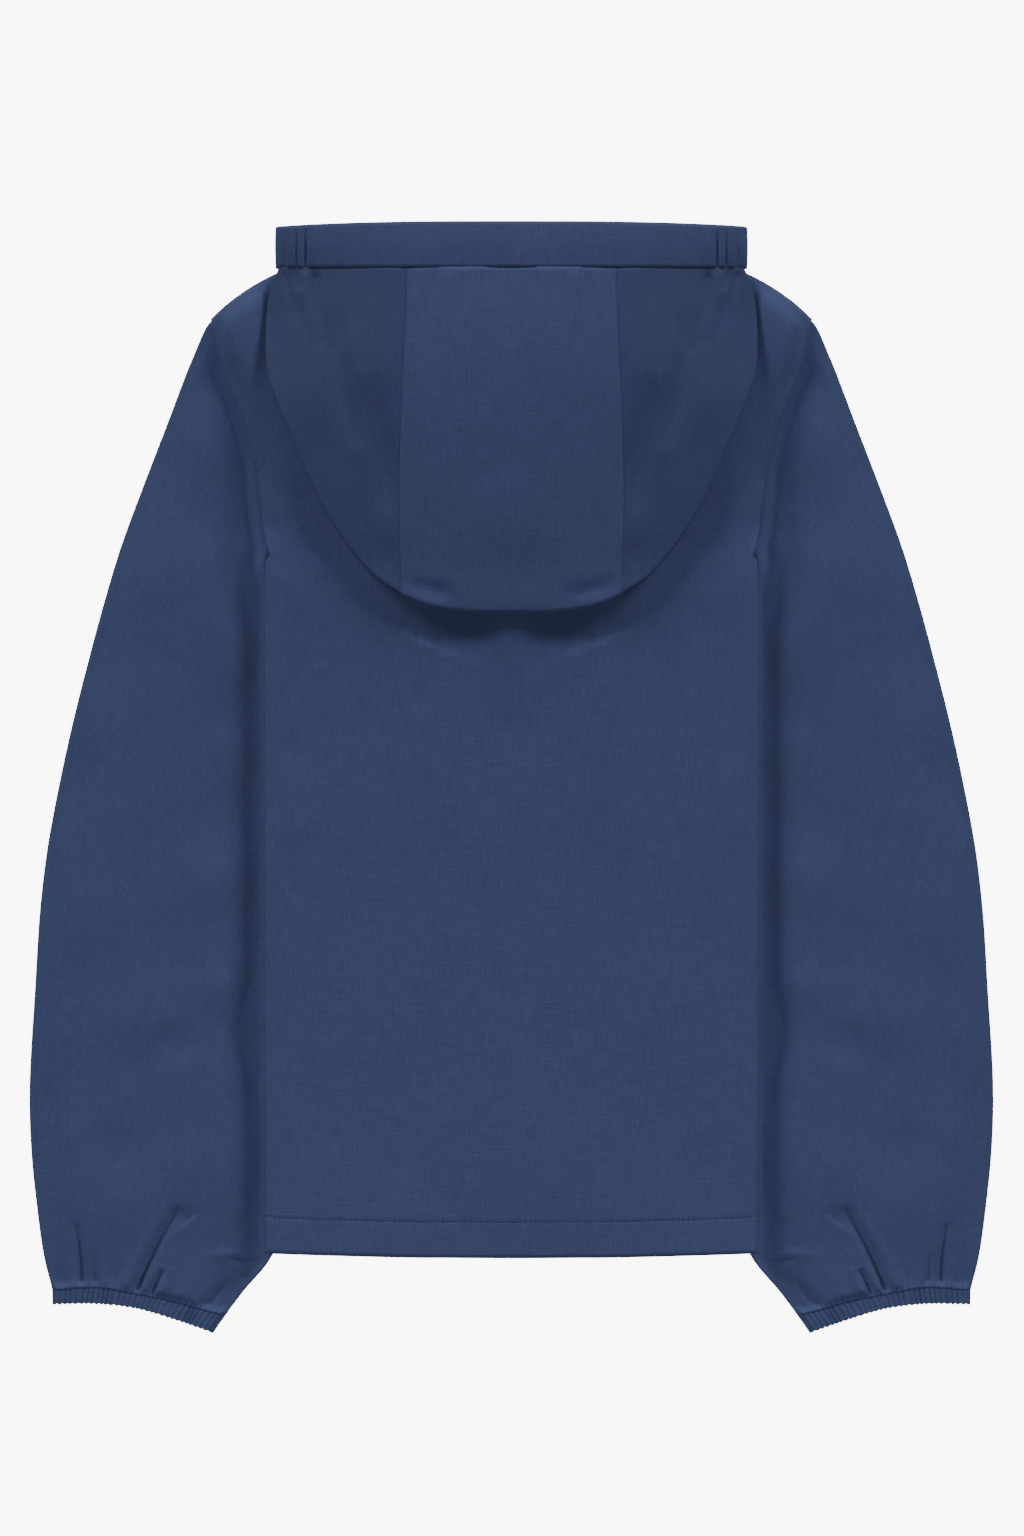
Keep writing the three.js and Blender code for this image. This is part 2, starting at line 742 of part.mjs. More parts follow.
function plate(outline, height, z) {
  const shape = new THREE.Shape(outline.map(([x, y]) => new THREE.Vector2(x, y)));
  const geometry = new THREE.ExtrudeGeometry(shape, { depth: height, bevelEnabled: false });
  geometry.translate(0, 0, z);
  return geometry;
}

const sliderOutline = [
  [-2.2, -5],
  [2.2, -5],
  [3.5, 1],
  [3.5, 5],
  [1.2, 6],
  [-1.2, 6],
  [-3.5, 5],
  [-3.5, 1],
];
const pullOutline = [
  [-1.1, 0.5],
  [-1.1, -2.2],
  [-2, -3.4],
  [-2, -19],
  [-1.2, -20.5],
  [1.2, -20.5],
  [2, -19],
  [2, -3.4],
  [1.1, -2.2],
  [1.1, 0.5],
];

const wasm = await Module();
wasm.setup();

function toManifold(geometry) {
  const merged = weld(geometry);
  return new wasm.Manifold(new wasm.Mesh({
    numProp: 3,
    vertProperties: new Float32Array(merged.points.flat()),
    triVerts: new Uint32Array(merged.faces),
  }));
}

// Shared corners of a geometry, joined by their place
function weld(geometry) {
  const flat = geometry.index ? geometry.toNonIndexed() : geometry;
  const at = flat.getAttribute('position');
  const seen = new Map();
  const points = [];
  const faces = [];
  for (let i = 0; i < at.count; i += 1) {
    const place = [at.getX(i), at.getY(i), at.getZ(i)];
    const key = place.map((value) => value.toFixed(4)).join(' ');
    if (!seen.has(key)) {
      seen.set(key, points.length);
      points.push(place);
    }
    faces.push(seen.get(key));
  }
  return { points, faces };
}

// Slider: a tapered body with two lugs below it that hold the pull
function zipSlider() {
  let body = toManifold(plate(sliderOutline, sliderPlate.height, sliderPlate.z));
  for (const side of [-1, 1]) {
    const block = new THREE.BoxGeometry(lug.width, lug.depth, lug.height);
    block.translate(side * lug.x, 0, lug.z);
    body = body.add(toManifold(block));
  }
  const mesh = body.getMesh();
  const geometry = new THREE.BufferGeometry();
  geometry.setAttribute('position', new THREE.BufferAttribute(new Float32Array(mesh.vertProperties), 3));
  geometry.setIndex(Array.from(mesh.triVerts));
  geometry.computeVertexNormals();
  return geometry;
}

const navy = new THREE.Color(0.196, 0.251, 0.365);
const clothFinish = { color: navy, roughness: 0.55, metalness: 0 };
const tapeFinish = { color: new THREE.Color(0.13, 0.16, 0.24), roughness: 0.8, metalness: 0 };
const zipFinish = { color: new THREE.Color(0.16, 0.2, 0.3), roughness: 0.35, metalness: 0.2 };

const coat = new THREE.Group();

function addPiece(name, geometry, finish, y = 0) {
  const mesh = new THREE.Mesh(geometry, new THREE.MeshStandardMaterial(finish));
  mesh.name = name;
  mesh.position.y = y;
  coat.add(mesh);
}

addPiece('back', backPanel(), clothFinish);
addPiece('hood_centre', hoodCentre(), clothFinish);
addPiece('hood_band', hoodBand(), clothFinish);
for (const [word, side] of [['left', -1], ['right', 1]]) {
  addPiece(`front_${word}`, frontPanel(side), clothFinish);
  addPiece(`sleeve_${word}`, sleeve(side), clothFinish);
  addPiece(`cuff_${word}`, cuff(side), clothFinish);
  addPiece(`hood_side_${word}`, hoodSide(side), clothFinish);
  addPiece(`zip_tape_${word}`, zipTape(side), tapeFinish);
}
addPiece('zip_slider', zipSlider(), zipFinish, pullAxis.y);
addPiece('zip_pull', plate(pullOutline, pullHeight, pullAxis.z - pullHeight / 2), zipFinish, pullAxis.y);

export default coat;
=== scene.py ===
import bpy
import numpy as np
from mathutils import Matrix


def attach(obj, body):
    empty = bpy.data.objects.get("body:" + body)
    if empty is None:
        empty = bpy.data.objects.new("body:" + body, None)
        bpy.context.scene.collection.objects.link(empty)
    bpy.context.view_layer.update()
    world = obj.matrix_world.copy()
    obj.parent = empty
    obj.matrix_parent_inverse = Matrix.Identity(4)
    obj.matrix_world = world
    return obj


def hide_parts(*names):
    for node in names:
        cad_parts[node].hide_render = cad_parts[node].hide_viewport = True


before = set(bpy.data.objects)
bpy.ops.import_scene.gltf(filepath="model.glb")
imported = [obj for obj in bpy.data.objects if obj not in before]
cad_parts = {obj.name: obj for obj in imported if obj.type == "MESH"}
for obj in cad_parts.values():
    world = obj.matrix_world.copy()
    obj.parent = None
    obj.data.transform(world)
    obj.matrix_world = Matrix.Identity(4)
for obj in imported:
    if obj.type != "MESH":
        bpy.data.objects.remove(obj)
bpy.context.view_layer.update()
mm = 0.001  # every length below is in millimetres until it goes into a mesh

# How the layers of cloth lie, as in the solids
layers = {
    "cloth": 1.2,
    "thin": 0.55,  # the shell that is drawn, flush with the solids' outer faces
    "gap": 0.4,
    "fade": 16,
    "loose": 3.4,
    "tape": 0.9,
    "seam": 0.3,
    "backLevel": 7.6,
    "hemLevel": 7,
    "shoulderFade": 80,
    "armholeDrop": 0.6,
}
layers["pitch"] = layers["cloth"] + layers["gap"]
layers["flush"] = (layers["cloth"] - layers["thin"]) / 2  # from the solid's middle out to the shell's middle

body = {
    "fold": 133.1,
    "sideSeam": 48.7,
    "hemMiddle": -264,
    "hemSide": -261.3,
    "hemDepth": 20,
    "hemExtra": 0.5,
    "tip": (164.7, 252.5),
    "neck": (87.7, 294.8),
    "nape": 275.6,
    "frontNeck": 220,
    "zipGap": 4,
    "zipLift": 2.6,
    "zipLiftAcross": (8, 50),
    "zipLiftUp": (232, 278),
    "tapeAcross": (14, 24),
    "tapeUp": (222, 250),
    "hemEase": (-1, 60),
    "armholeEase": (119, 140),
    "spread": 0.25,  # keeps the fold's columns apart where the fold has opened out
    "leastTurn": 0.3,
    "underarm": 97.4,
    "underarmSlope": 0.28,
    "turnTop": 116,  # the turned side widens from here down to the underarm
    "foldOpens": (114.5, 121),  # the side fold opens out into the armhole's edge between these heights
    "insetFade": (100, 117),
    "frontInset": 3,  # the front's fold lies this far inside the back's, so the sleeve drops out of sight
    "armhole": [(131.2, 120.5), (134.5, 132), (136.7, 147.4), (140, 174.4), (142.7, 184.3), (148.2, 203),
                (153.2, 214.5), (159.2, 226.6), (162, 236.5), (164.7, 252.5)],
    "shoulder": [(87.7, 294.8), (136.7, 273.4), (153.7, 262.4), (161.4, 255.8), (164.7, 252.5)],
}

sleeves = {
    # the outline over the arm, shoulder to cuff
    "overArm": [(160, 254.5), (166.5, 248.5), (175.2, 229.4), (190, 190.9), (202.7, 157.9), (214.8, 124.9),
                (224.7, 91.9), (233.5, 58.9), (241.7, 25.9), (248.9, -7.1), (254.9, -40.1), (258.8, -73.1),
                (261.6, -117), (264.6, -172.1), (263.7, -205.1), (260.4, -238.1), (256.6, -264.6),
                (252.2, -282)],
    "underArm": [(48.7, 104), (75, -18), (102, -140), (122, -232), (131, -262), (147.7, -283), (157.4, -295.8)],
    "head": [(160, 254.5), (154, 226), (143, 202), (134.8, 174), (131.5, 147), (126.5, 132), (100, 119),
             (75, 111.5), (48.7, 104)],
    "cuffLine": [(252.2, -282), (228, -280.6), (207.6, -283.8), (184, -288.6), (168, -293.2), (157.4, -295.8)],
    "trough": 0.24,
    "cuffLoss": 2.0,  # how much less the sleeve stands up at its cuff
    "ripple": 0.4,
    "lowest": -0.85,
}

cuffs = {
    "edge": [(252, -289.6), (228, -289.4), (206, -292), (184, -298.4), (164.2, -305.25)],
    "gathers": 32,
    "wave": 0.36,
    "edgeWave": 0.35,
    "full": 1.5,
    "tuck": 0.35,
    "overlap": 0.08,  # the share of its width by which the casing starts inside the sleeve
}

hood = {
    "outline": [(133, 267), (134.7, 252), (135, 236), (133.6, 220), (120.7, 186.5), (107.5, 156.2),
                (98.2, 139.2), (85, 120.5), (73.4, 108.4), (59.9, 99.4)],
    "crown": [(59.9, 99.4), (47, 94.1), (28.3, 90.8), (0, 90)],
    "seamX": 57.5,
    "seamBow": 4,
    "seamNeck": 35,
    "rise": 0.66,
    "riseUp": (95, 120),
    "puff": 0.85,
    "puffCentre": 200,
    "puffHalf": (150, 125),
    "lower": 0.9,
    "lowerUp": (190, 272),
    "seamStep": 0.03,
    "seamDip": 0.15,
    "dipShare": 0.05,
    "bandEnd": 127.5,
    "underBand": 0.7,
}

band = {
    "top": 305.25,
    "corner": 302.2,
    "seam": 279.4,
    "half": 130.1,
    "width": 25,
    "sunk": 0.35,
    "lift": 0.4,
    "belly": 0.55,
    "turn": 3.6,
    "turnReach": 3.2,
    "zipEnd": 3.4,
    "offNeck": 0.9,
    "gathersFrom": 104,
    # the ridges and troughs of the elastic end: distance from the middle, width, height
    "gathers": [(120.3, 1.7, 0.9), (115.6, 1.5, 0.9), (109.5, 3.0, 0.4), (124.2, 1.3, -0.5), (118, 1.2, -0.5),
                (113.2, 1.5, -1.0)],
}

fullTurn = 6.283


def rise(value, a, b):
    # smooth step from 0 at a to 1 at b
    t = np.clip((value - a) / (b - a), 0, 1)
    return t * t * (3 - 2 * t)


def fall(value, a, b):
    return 1 - rise(value, a, b)


def throughPoints(points, count=500):
    # cubic curve through the points, spaced by the square root of their distances, read evenly by length
    p = np.array(points, float)
    t = np.concatenate([[0], np.cumsum(np.linalg.norm(np.diff(p, axis=0), axis=1) ** 0.5)])
    slope = np.gradient(p, t, axis=0)
    at = np.linspace(0, t[-1], count * 4)
    k = np.clip(np.searchsorted(t, at, side="right") - 1, 0, len(t) - 2)
    step = (t[k + 1] - t[k])[:, None]
    u = ((at - t[k])[:, None]) / step
    dense = ((2 * u**3 - 3 * u**2 + 1) * p[k] + (u**3 - 2 * u**2 + u) * step * slope[k]
             + (3 * u**2 - 2 * u**3) * p[k + 1] + (u**3 - u**2) * step * slope[k + 1])
    run = np.concatenate([[0], np.cumsum(np.linalg.norm(np.diff(dense, axis=0), axis=1))])
    even = np.linspace(0, run[-1], count)
    return np.stack([np.interp(even, run, dense[:, i]) for i in range(2)], axis=-1)


def atShare(curve, share):
    line = np.linspace(0, 1, len(curve))
    return np.stack([np.interp(share, line, curve[:, i]) for i in range(2)], axis=-1)


def xAtY(curve, y):
    order = np.argsort(curve[:, 1])
    return np.interp(y, curve[order, 1], curve[order, 0])


def yAtX(curve, x):
    order = np.argsort(curve[:, 0])
    return np.interp(x, curve[order, 0], curve[order, 1])


armholeCurve = throughPoints(body["armhole"])
shoulderCurve = throughPoints(body["shoulder"])
overArmCurve = throughPoints(sleeves["overArm"])
underArmCurve = throughPoints(sleeves["underArm"])
headCurve = throughPoints(sleeves["head"])
cuffLineCurve = throughPoints(sleeves["cuffLine"])
cuffEdgeCurve = throughPoints(cuffs["edge"])


def edgeX(y):
    # the body's edge at a height: the sleeve's own below the hem, then the side fold, then the armhole
    low = xAtY(underArmCurve, y)
    side = np.where(y < body["armhole"][0][1], body["fold"] + layers["cloth"] / 2, xAtY(armholeCurve, y))
    return np.where(y < body["hemSide"], low, side)


def underarmY(x):
    return body["underarm"] + (np.abs(x) - body["sideSeam"]) * body["underarmSlope"]


def hemY(x):
    return body["hemMiddle"] + (body["hemSide"] - body["hemMiddle"]) * (x / body["fold"]) ** 2


def turnedIn(x, y):
    inner = body["sideSeam"] - 2
    top = underarmY(x) + 2
    return rise(np.abs(x), inner - layers["fade"], inner) * fall(y, top, top + layers["fade"])


def sleeveBelow(x, y):
    inner = body["sideSeam"] - 2
    top = underarmY(x) + 9
    low = rise(np.abs(x), inner - layers["fade"], inner) * fall(y, top, top + layers["fade"])
    head = edgeX(y) - 9
    high = rise(np.abs(x), head - layers["fade"], head) * rise(y, 95, 112)
    return low + high - low * high


def liftAtZip(x, y):
    return body["zipLift"] * fall(np.abs(x), *body["zipLiftAcross"]) * fall(y, *body["zipLiftUp"])


def hemThickness(y):
    top = body["hemSide"] + body["hemDepth"]
    return layers["cloth"] + body["hemExtra"] * fall(y, top - 1, top + 30)


def ripple(x, y, seed, size, height, count=9):
    # a few long soft waves in fixed directions, so that no stretch of cloth is quite flat
    draw = np.random.default_rng(seed)
    angle, phase = draw.uniform(0, np.pi, count), draw.uniform(0, 6.3, count)
    length = size * draw.uniform(0.6, 1.6, count)
    wave = np.zeros(np.broadcast(x, y).shape)
    for a, p, k in zip(angle, phase, length):
        wave = wave + np.sin((np.cos(a) * x + np.sin(a) * y) * fullTurn / k + p)
    return wave * height / count**0.5


def creases(x, y, table):
    # each crease is a ridge, or a trough when its height is negative, from one point to another;
    # one with a taper dies away towards its second point, the others towards both
    total = np.zeros(np.broadcast(x, y).shape)
    for x1, y1, x2, y2, wide, high, taper, bend, sharp in table:
        run = np.array([x2 - x1, y2 - y1], float)
        share = np.clip(((x - x1) * run[0] + (y - y1) * run[1]) / (run @ run), 0, 1)
        bowed = bend * np.sin(np.pi * share)
        side = np.array([-run[1], run[0]]) / np.linalg.norm(run)
        dx = x - x1 - share * run[0] - bowed * side[0]
        dy = y - y1 - share * run[1] - bowed * side[1]
        fadeOut = (1 - share) ** taper if taper else np.sin(np.pi * np.clip(share, 0.02, 0.98))
        away = np.hypot(dx, dy) / wide
        total = total + high * fadeOut * np.exp(-away if sharp else -away**2)
    return total


# Columns: from x and y, to x and y, width, height, taper, bend, and 1 for a sharp one. In the sleeves
# the creases that run up from the cuff are sharp troughs between soft ridges, and the rest lie softer.
sleeveCreases = [
    (235.5, -281, 239.2, -245, 1.1, -3.5, 0.5, 1, 1),
    (241.5, -281, 243.5, -250, 3.6, 0.9, 0.8, 0, 0),
    (231.8, -281, 234, -254, 2.8, 0.8, 0.8, 0, 0),
    (228.4, -281, 230, -261, 1.3, -1.5, 0.7, 0, 1),
    (224.5, -280.6, 226.5, -258, 3.0, 0.7, 0.8, 0, 0),
    (249, -281.6, 251.5, -266, 1.6, -0.5, 0.8, 0, 0),
    (206.7, -283.6, 182.7, -236.3, 1.9, -3.6, 0.35, -1.5, 1),
    (212, -283, 190, -238, 4.0, 1.2, 0.6, -1.5, 0),
    (202.8, -284.4, 195, -266, 2.2, 1.1, 0.6, 0, 0),
    (198.8, -285.2, 191.3, -270.5, 1.2, -3.6, 0.35, 0, 1),
    (194.5, -286, 186, -268, 3.0, 0.9, 0.7, 0, 0),
    (180, -243, 178.5, -245, 8.0, -0.9, 0.1, 0, 0),
    (170, -291.2, 155.5, -276, 1.7, -1.6, 0.5, 0.8, 1),
    (175, -290, 160, -272.5, 3.0, 0.5, 0.7, 0, 0),
    (165.5, -292.6, 151.5, -280, 2.4, 0.4, 0.7, 0, 0),
    (182.9, -288.4, 171.5, -289.6, 1.3, -0.3, 0, 0, 0),
    (184, -286.4, 177, -277, 2.2, 0.3, 0.8, 0, 0),
    (157, -264.6, 137, -271.2, 1.6, -1.2, 0, -1.2, 1),
    (170, -263.4, 148, -260.6, 2.6, 0.5, 0, 0, 0),
    (152, -268.8, 140, -274, 2.6, 0.4, 0, 0, 0),
    (154, -112, 140, -166, 10, -2.4, 0, 0, 0),
    (166, -104, 150, -140, 9, 0.9, 0, 0, 0),
    (190, -134, 178, -158, 11, -0.9, 0, 0, 0),
    (212, -120, 196, -150, 14, 0.5, 0, 0, 0),
    (148, 60, 160, 20, 10, -0.7, 0, 0, 0),
    (160, 96, 190, 62, 12, 0.5, 0, 0, 0),
    (152, -40, 170, -74, 11, 0.6, 0, 0, 0),
    (176, 186, 170, 120, 14, -0.9, 0, 0, 0),
    (182, 212, 196, 150, 12, 0.7, 0, 0, 0),
    (158, 246, 178, 214, 8, 1.0, 0, 0, 0),
    (156, 146, 148, 78, 9, -2.2, 0, 0, 0),
    (230, -190, 206, -214, 12, -0.6, 0, 0, 0),
    (196, -196, 170, -222, 12, 0.5, 0, 0, 0),
]
backCreases = [
    (0, 98, 0, 30, 10, 2.7, 0.9, 0, 0),
    (38, 94, 46, 74, 19, -3.2, 0.2, 0, 0),
    (22, 90, 22, 72, 12, -1.2, 0.3, 0, 0),
    (57, 34, 54, -16, 2.6, -0.6, 0, 0, 0),
    (63, 30, 60, -12, 6, 0.35, 0, 0, 0),
    (4, 76, 2, 24, 2.2, -0.3, 0, 0, 0),
    (128, 116, 108, 88, 8, 0.5, 0, 0, 0),
    (130, 22, 112, 8, 7, -0.5, 0, 0, 0),
    (131, -22, 110, -34, 8, 0.4, 0, 0, 0),
    (96, -60, 88, -150, 26, -0.5, 0, 0, 0),
]
hoodCreases = [
    (41, 277, 46, 246, 2.2, -0.9, 0.7, 0, 0),
    (35, 277, 40, 240, 5.0, 0.6, 0.8, 0, 0),
    (124.8, 279, 121, 260, 2.2, -1.0, 0.6, 0, 0),
    (118, 279, 115.5, 267, 3.2, -1.3, 0.5, 0, 0),
    (122, 266, 117, 246, 5.0, -0.7, 0, 0, 0),
    (113.6, 279, 105.5, 240, 4.0, 1.5, 0.5, 2, 0),
    (108.4, 277, 99.5, 232, 3.4, -1.4, 0.4, 2.5, 0),
    (131, 262, 122, 214, 7, -0.7, 0, 0, 0),
    (98, 262, 84, 176, 9, -2.7, 0, 3, 0),
    (88, 250, 80, 200, 8, 0.8, 0, 0, 0),
    (76, 222, 66, 140, 8, -2.8, 0, 0, 0),
    (110, 200, 88, 160, 9, -0.6, 0, 0, 0),
    (62, 106, 28, 99, 4.2, -1.5, 0, 0, 0),
    (66, 116, 72, 130, 5, -0.5, 0, 0, 0),
    (58, 250, 62, 190, 8, -0.7, 0, 0, 0),
    (0, 170, 0, 110, 20, 0.7, 0, 0, 0),
]
hiddenCreases = [
    (238, -282, 233, -240, 3, 0.7, 0.5, 0, 0),
    (214, -284, 198, -246, 3.4, 0.9, 0.5, 0, 0),
    (190, -288, 182, -262, 2.6, 0.6, 0.5, 0, 0),
    (168, -270, 150, -262, 4, 0.5, 0, 0, 0),
    (176, -120, 206, -150, 9, 0.5, 0, 0, 0),
    (160, 40, 196, 12, 9, 0.4, 0, 0, 0),
    (186, 170, 172, 110, 8, 0.5, 0, 0, 0),
    (60, 205, 104, 150, 9, 0.6, 0, 0, 0),
    (36, 60, 92, 20, 10, 0.5, 0, 0, 0),
    (30, -110, 84, -150, 10, 0.5, 0, 0, 0),
]


def hidden(x, y):
    # the side on the table: creases as hollows only, so that it still lies flat
    ax = np.abs(x)
    edges = rise(ax, 9, 24) * fall(y, 225, 245) * rise(y - hemY(x), 24, 40)
    sleeve = rise(ax, edgeX(y) + 3, edgeX(y) + 12)
    return np.maximum(creases(ax, y, hiddenCreases), 0) * np.maximum(edges * fall(ax, 104, 118), sleeve)


# Lowest face of each layer above the table, from the front up to the hood
def frontZ(x, y):
    return liftAtZip(x, y)


def frontTurnZ(x, y):
    return frontZ(x, y) + layers["pitch"]


def besideBody(y):
    # the line along which the sleeve comes out from under the body
    return np.maximum(edgeX(y), body["fold"])


def underSleeve(x, y):
    # 1 where the sleeve lies on the front and 0 where it lies on the table
    edge = besideBody(y)
    hem = body["hemSide"]
    start = edge + 1.5 - (body["frontInset"] + 1) * fall(y, *body["insetFade"])
    return fall(np.abs(x), start, start + 7) * rise(y, hem - 22, hem - 6)


def sleeveLowerZ(x, y):
    return underSleeve(x, y) * layers["pitch"] * (1 + turnedIn(x, y))


def sleevePuff(x, y):
    # how far the sleeve's upper face stands up: low beside the body and at the outer edge, full between
    ax = np.abs(x)
    edge = besideBody(y)
    outer = xAtY(overArmCurve, y)
    channel = (rise(ax, edge + 3, edge + 32)
               + 0.2 * rise(ax, edge + 12, edge + 34) * fall(ax, edge + 34, edge + 80))
    trough = sleeves["trough"] * rise(ax, edge - 2, edge + 1) * fall(ax, edge + 6, edge + 20)
    sides = channel * rise(outer - ax, -2, 30) - trough
    full = layers["loose"] - sleeves["cuffLoss"] * rise(-y, 225, 292)
    near = rise(ax, edge + 1, edge + 8) * rise(outer - ax, -1, 7)
    fine = creases(ax, y, sleeveCreases) + ripple(ax, y, 4, 70, sleeves["ripple"])
    return np.maximum(sides * full + near * fine, sleeves["lowest"])


def sleeveUpperZ(x, y):
    return sleeveLowerZ(x, y) + layers["pitch"] + sleevePuff(x, y)


def stackZ(x, y):
    tapes = (layers["tape"] + layers["seam"]) * fall(np.abs(x), *body["tapeAcross"]) * fall(y, *body["tapeUp"])
    return liftAtZip(x, y) + tapes + layers["pitch"] + 2 * layers["pitch"] * sleeveBelow(x, y)


def backTurnZ(x, y):
    return stackZ(x, y) + layers["pitch"] * turnedIn(x, y)


def bridge(level, height):
    # how far cloth lifts off what lies at a height, to pass over it at a level
    drop = level - height
    return (drop + np.hypot(drop, 1)) / 2


def backZ(x, y):
    ax = np.abs(x)
    flat = backTurnZ(x, y) + (hemThickness(y) + layers["gap"]) * turnedIn(x, y)
    offHem = rise(y - hemY(x), *body["hemEase"])
    ease = bridge(layers["hemLevel"], flat) * (1 - offHem) + bridge(layers["backLevel"], flat) * offHem
    offShoulder = rise(yAtX(shoulderCurve, ax) - y, -14, layers["shoulderFade"])
    atArmhole = rise(y, *body["armholeEase"]) * fall(edgeX(y) - ax, 1, 18)
    return flat + ease * offShoulder * (1 - layers["armholeDrop"] * atArmhole)


def hoodLowerZ(x, y):
    return backZ(x, y) + layers["pitch"] + layers["loose"] * hood["lower"] * fall(y, *hood["lowerUp"])


def hoodUpperZ(x, y):
    away = np.hypot(x / hood["puffHalf"][0], (y - hood["puffCentre"]) / hood["puffHalf"][1])
    puff = layers["loose"] * hood["puff"] * fall(away, 0.45, 1.05) + hood["rise"] * fall(y, *hood["riseUp"])
    return hoodLowerZ(x, y) + layers["pitch"] + puff


def putMesh(name, points, quads, uv, smooth=None):
    # points in millimetres, faces of four corners, uv in metres along the cloth; the first faces are smooth
    a, b, c, d = (points[quads[:, i]] for i in range(4))
    volume = (a * np.cross(b, c)).sum() + (a * np.cross(c, d)).sum()
    if volume < 0:
        quads = quads[:, ::-1]
    mesh = bpy.data.meshes.new(name)
    mesh.vertices.add(len(points))
    mesh.vertices.foreach_set("co", (points * mm).astype(np.float32).ravel())
    mesh.loops.add(quads.size)
    mesh.loops.foreach_set("vertex_index", quads.astype(np.int32).ravel())
    mesh.polygons.add(len(quads))
    mesh.polygons.foreach_set("loop_start", np.arange(0, quads.size, 4, dtype=np.int32))
    mesh.polygons.foreach_set("use_smooth", np.arange(len(quads)) < (smooth or len(quads)))
    mesh.update(calc_edges=True)
    layer = mesh.uv_layers.new(name="cloth")
    layer.data.foreach_set("uv", (uv[quads.ravel()] * mm).astype(np.float32).ravel())
    piece = bpy.data.objects.new(name, mesh)
    bpy.context.scene.collection.objects.link(piece)
    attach(piece, "garment")
    return piece


def upright(points, up):
    # normals of points on a level stretch of cloth, 1 for up and -1 for down
    normal = np.zeros_like(points)
    normal[..., 2] = up
    return normal


def clothWall(name, middle, out, closed=False):
    # a closed wall: the middle surface moved out and in by half the shell's thickness, joined all round
    rows, columns = middle.shape[:2]
    outer, inner = middle + out * layers["thin"] / 2, middle - out * layers["thin"] / 2
    points = np.concatenate([outer.reshape(-1, 3), inner.reshape(-1, 3)])
    wrap = columns if closed else columns - 1
    j, i = np.meshgrid(np.arange(rows - 1), np.arange(wrap), indexing="ij")
    j, i = j.ravel(), i.ravel()
    k = (i + 1) % columns
    half = rows * columns
    face = np.stack([j * columns + i, j * columns + k, (j + 1) * columns + k, (j + 1) * columns + i], 1)
    parts = [face, face[:, ::-1] + half]
    i = np.arange(wrap)
    k = (i + 1) % columns
    last = (rows - 1) * columns
    parts.append(np.stack([i, i + half, k + half, k], 1))
    parts.append(np.stack([last + i, last + k, last + k + half, last + i + half], 1))
    if not closed:
        j = np.arange(rows - 1)
        here, after = j * columns, (j + 1) * columns
        parts.append(np.stack([here, after, after + half, here + half], 1))
        end = columns - 1
        parts.append(np.stack([here + end, here + end + half, after + end + half, after + end], 1))
    across = np.linalg.norm(np.diff(middle, axis=1), axis=2)
    along = np.linalg.norm(np.diff(middle, axis=0), axis=2)
    u = np.concatenate([np.zeros((rows, 1)), np.cumsum(across, axis=1)], axis=1)
    u = u - u[:, [columns // 2]]
    v = np.concatenate([np.zeros((1, columns)), np.cumsum(along, axis=0)], axis=0)
    v = np.repeat(v.mean(axis=1, keepdims=True), columns, axis=1)
    uv = np.stack([u, v], -1).reshape(-1, 2)
    return putMesh(name, points, np.concatenate(parts), np.concatenate([uv, uv]), smooth=2 * len(face))


def bodyGrid(rowsY, panel, startX, side, facing, mainZ, turnZ, topAt, inset=0):
    # middle points and outward normals of one half of a body panel, round its side fold and in
    turnCount, backCount = 8, 10
    y = rowsY[:, None]
    foldX = body["fold"] - inset * fall(y, *body["insetFade"])
    turned = np.pi * fall(y, *body["foldOpens"])
    widening = np.clip((body["turnTop"] - y) / (body["turnTop"] - body["underarm"]), 0, 1)
    back = widening * (body["fold"] - body["sideSeam"])
    sideX = np.where(y > body["armhole"][0][1], edgeX(y), foldX)
    share = (y - body["hemSide"]) / (body["tip"][1] - body["hemSide"])
    t = np.linspace(0, 1, panel)[None, :]
    neck = body["neck"][0] / body["tip"][0]
    warp = np.where(t < 0.5, t * 2 * neck, neck + (t * 2 - 1) * (1 - neck))
    x = startX * (1 - t) + (sideX - startX * (1 - t)) * warp
    topX = startX * (1 - t) + (body["tip"][0] - startX * (1 - t)) * warp
    low = hemY(x)
    rowY = low + share * (topAt(topX) - low)
    rowY[:, -1:] = y
    push, half = layers["flush"], layers["cloth"] / 2
    middle = np.stack([x, rowY, mainZ(x, rowY) + half + facing * push], -1)
    out = upright(middle, facing)
    main = mainZ(sideX, y) + half + facing * push
    under = turnZ(sideX, y) + half - facing * push
    radius = np.abs(main - under) / 2
    centre = main - facing * radius
    i = np.arange(1, turnCount + 1)[None, :] / turnCount
    angle = turned * i
    turnX = sideX + radius * np.sin(angle) + body["spread"] * i * (1 - turned / np.pi)
    turnMid = np.stack([turnX, np.broadcast_to(y, turnX.shape), centre + facing * radius * np.cos(angle)], -1)
    turnOut = np.stack([np.sin(angle), np.zeros_like(angle), facing * np.cos(angle)], -1)
    s = np.arange(1, backCount + 1)[None, :] / backCount * (back + body["leastTurn"])
    endX, endZ = turnMid[:, -1:, 0], turnMid[:, -1:, 2]
    backX = endX + np.cos(turned) * s
    follow = (turnZ(backX, y) - turnZ(sideX, y)) * rise(back, 1, 8)
    backLevel = endZ - facing * np.sin(turned) * s + follow
    backMid = np.stack([backX, np.broadcast_to(y, backX.shape), backLevel], -1)
    backOut = np.stack([np.broadcast_to(np.sin(turned), backX.shape), np.zeros_like(backX),
                        np.broadcast_to(facing * np.cos(turned), backX.shape)], -1)
    grid = np.concatenate([middle, turnMid, backMid], axis=1)
    normal = np.concatenate([out, turnOut, backOut], axis=1)
    grid[..., 0] *= side
    normal[..., 0] *= side
    return grid, normal


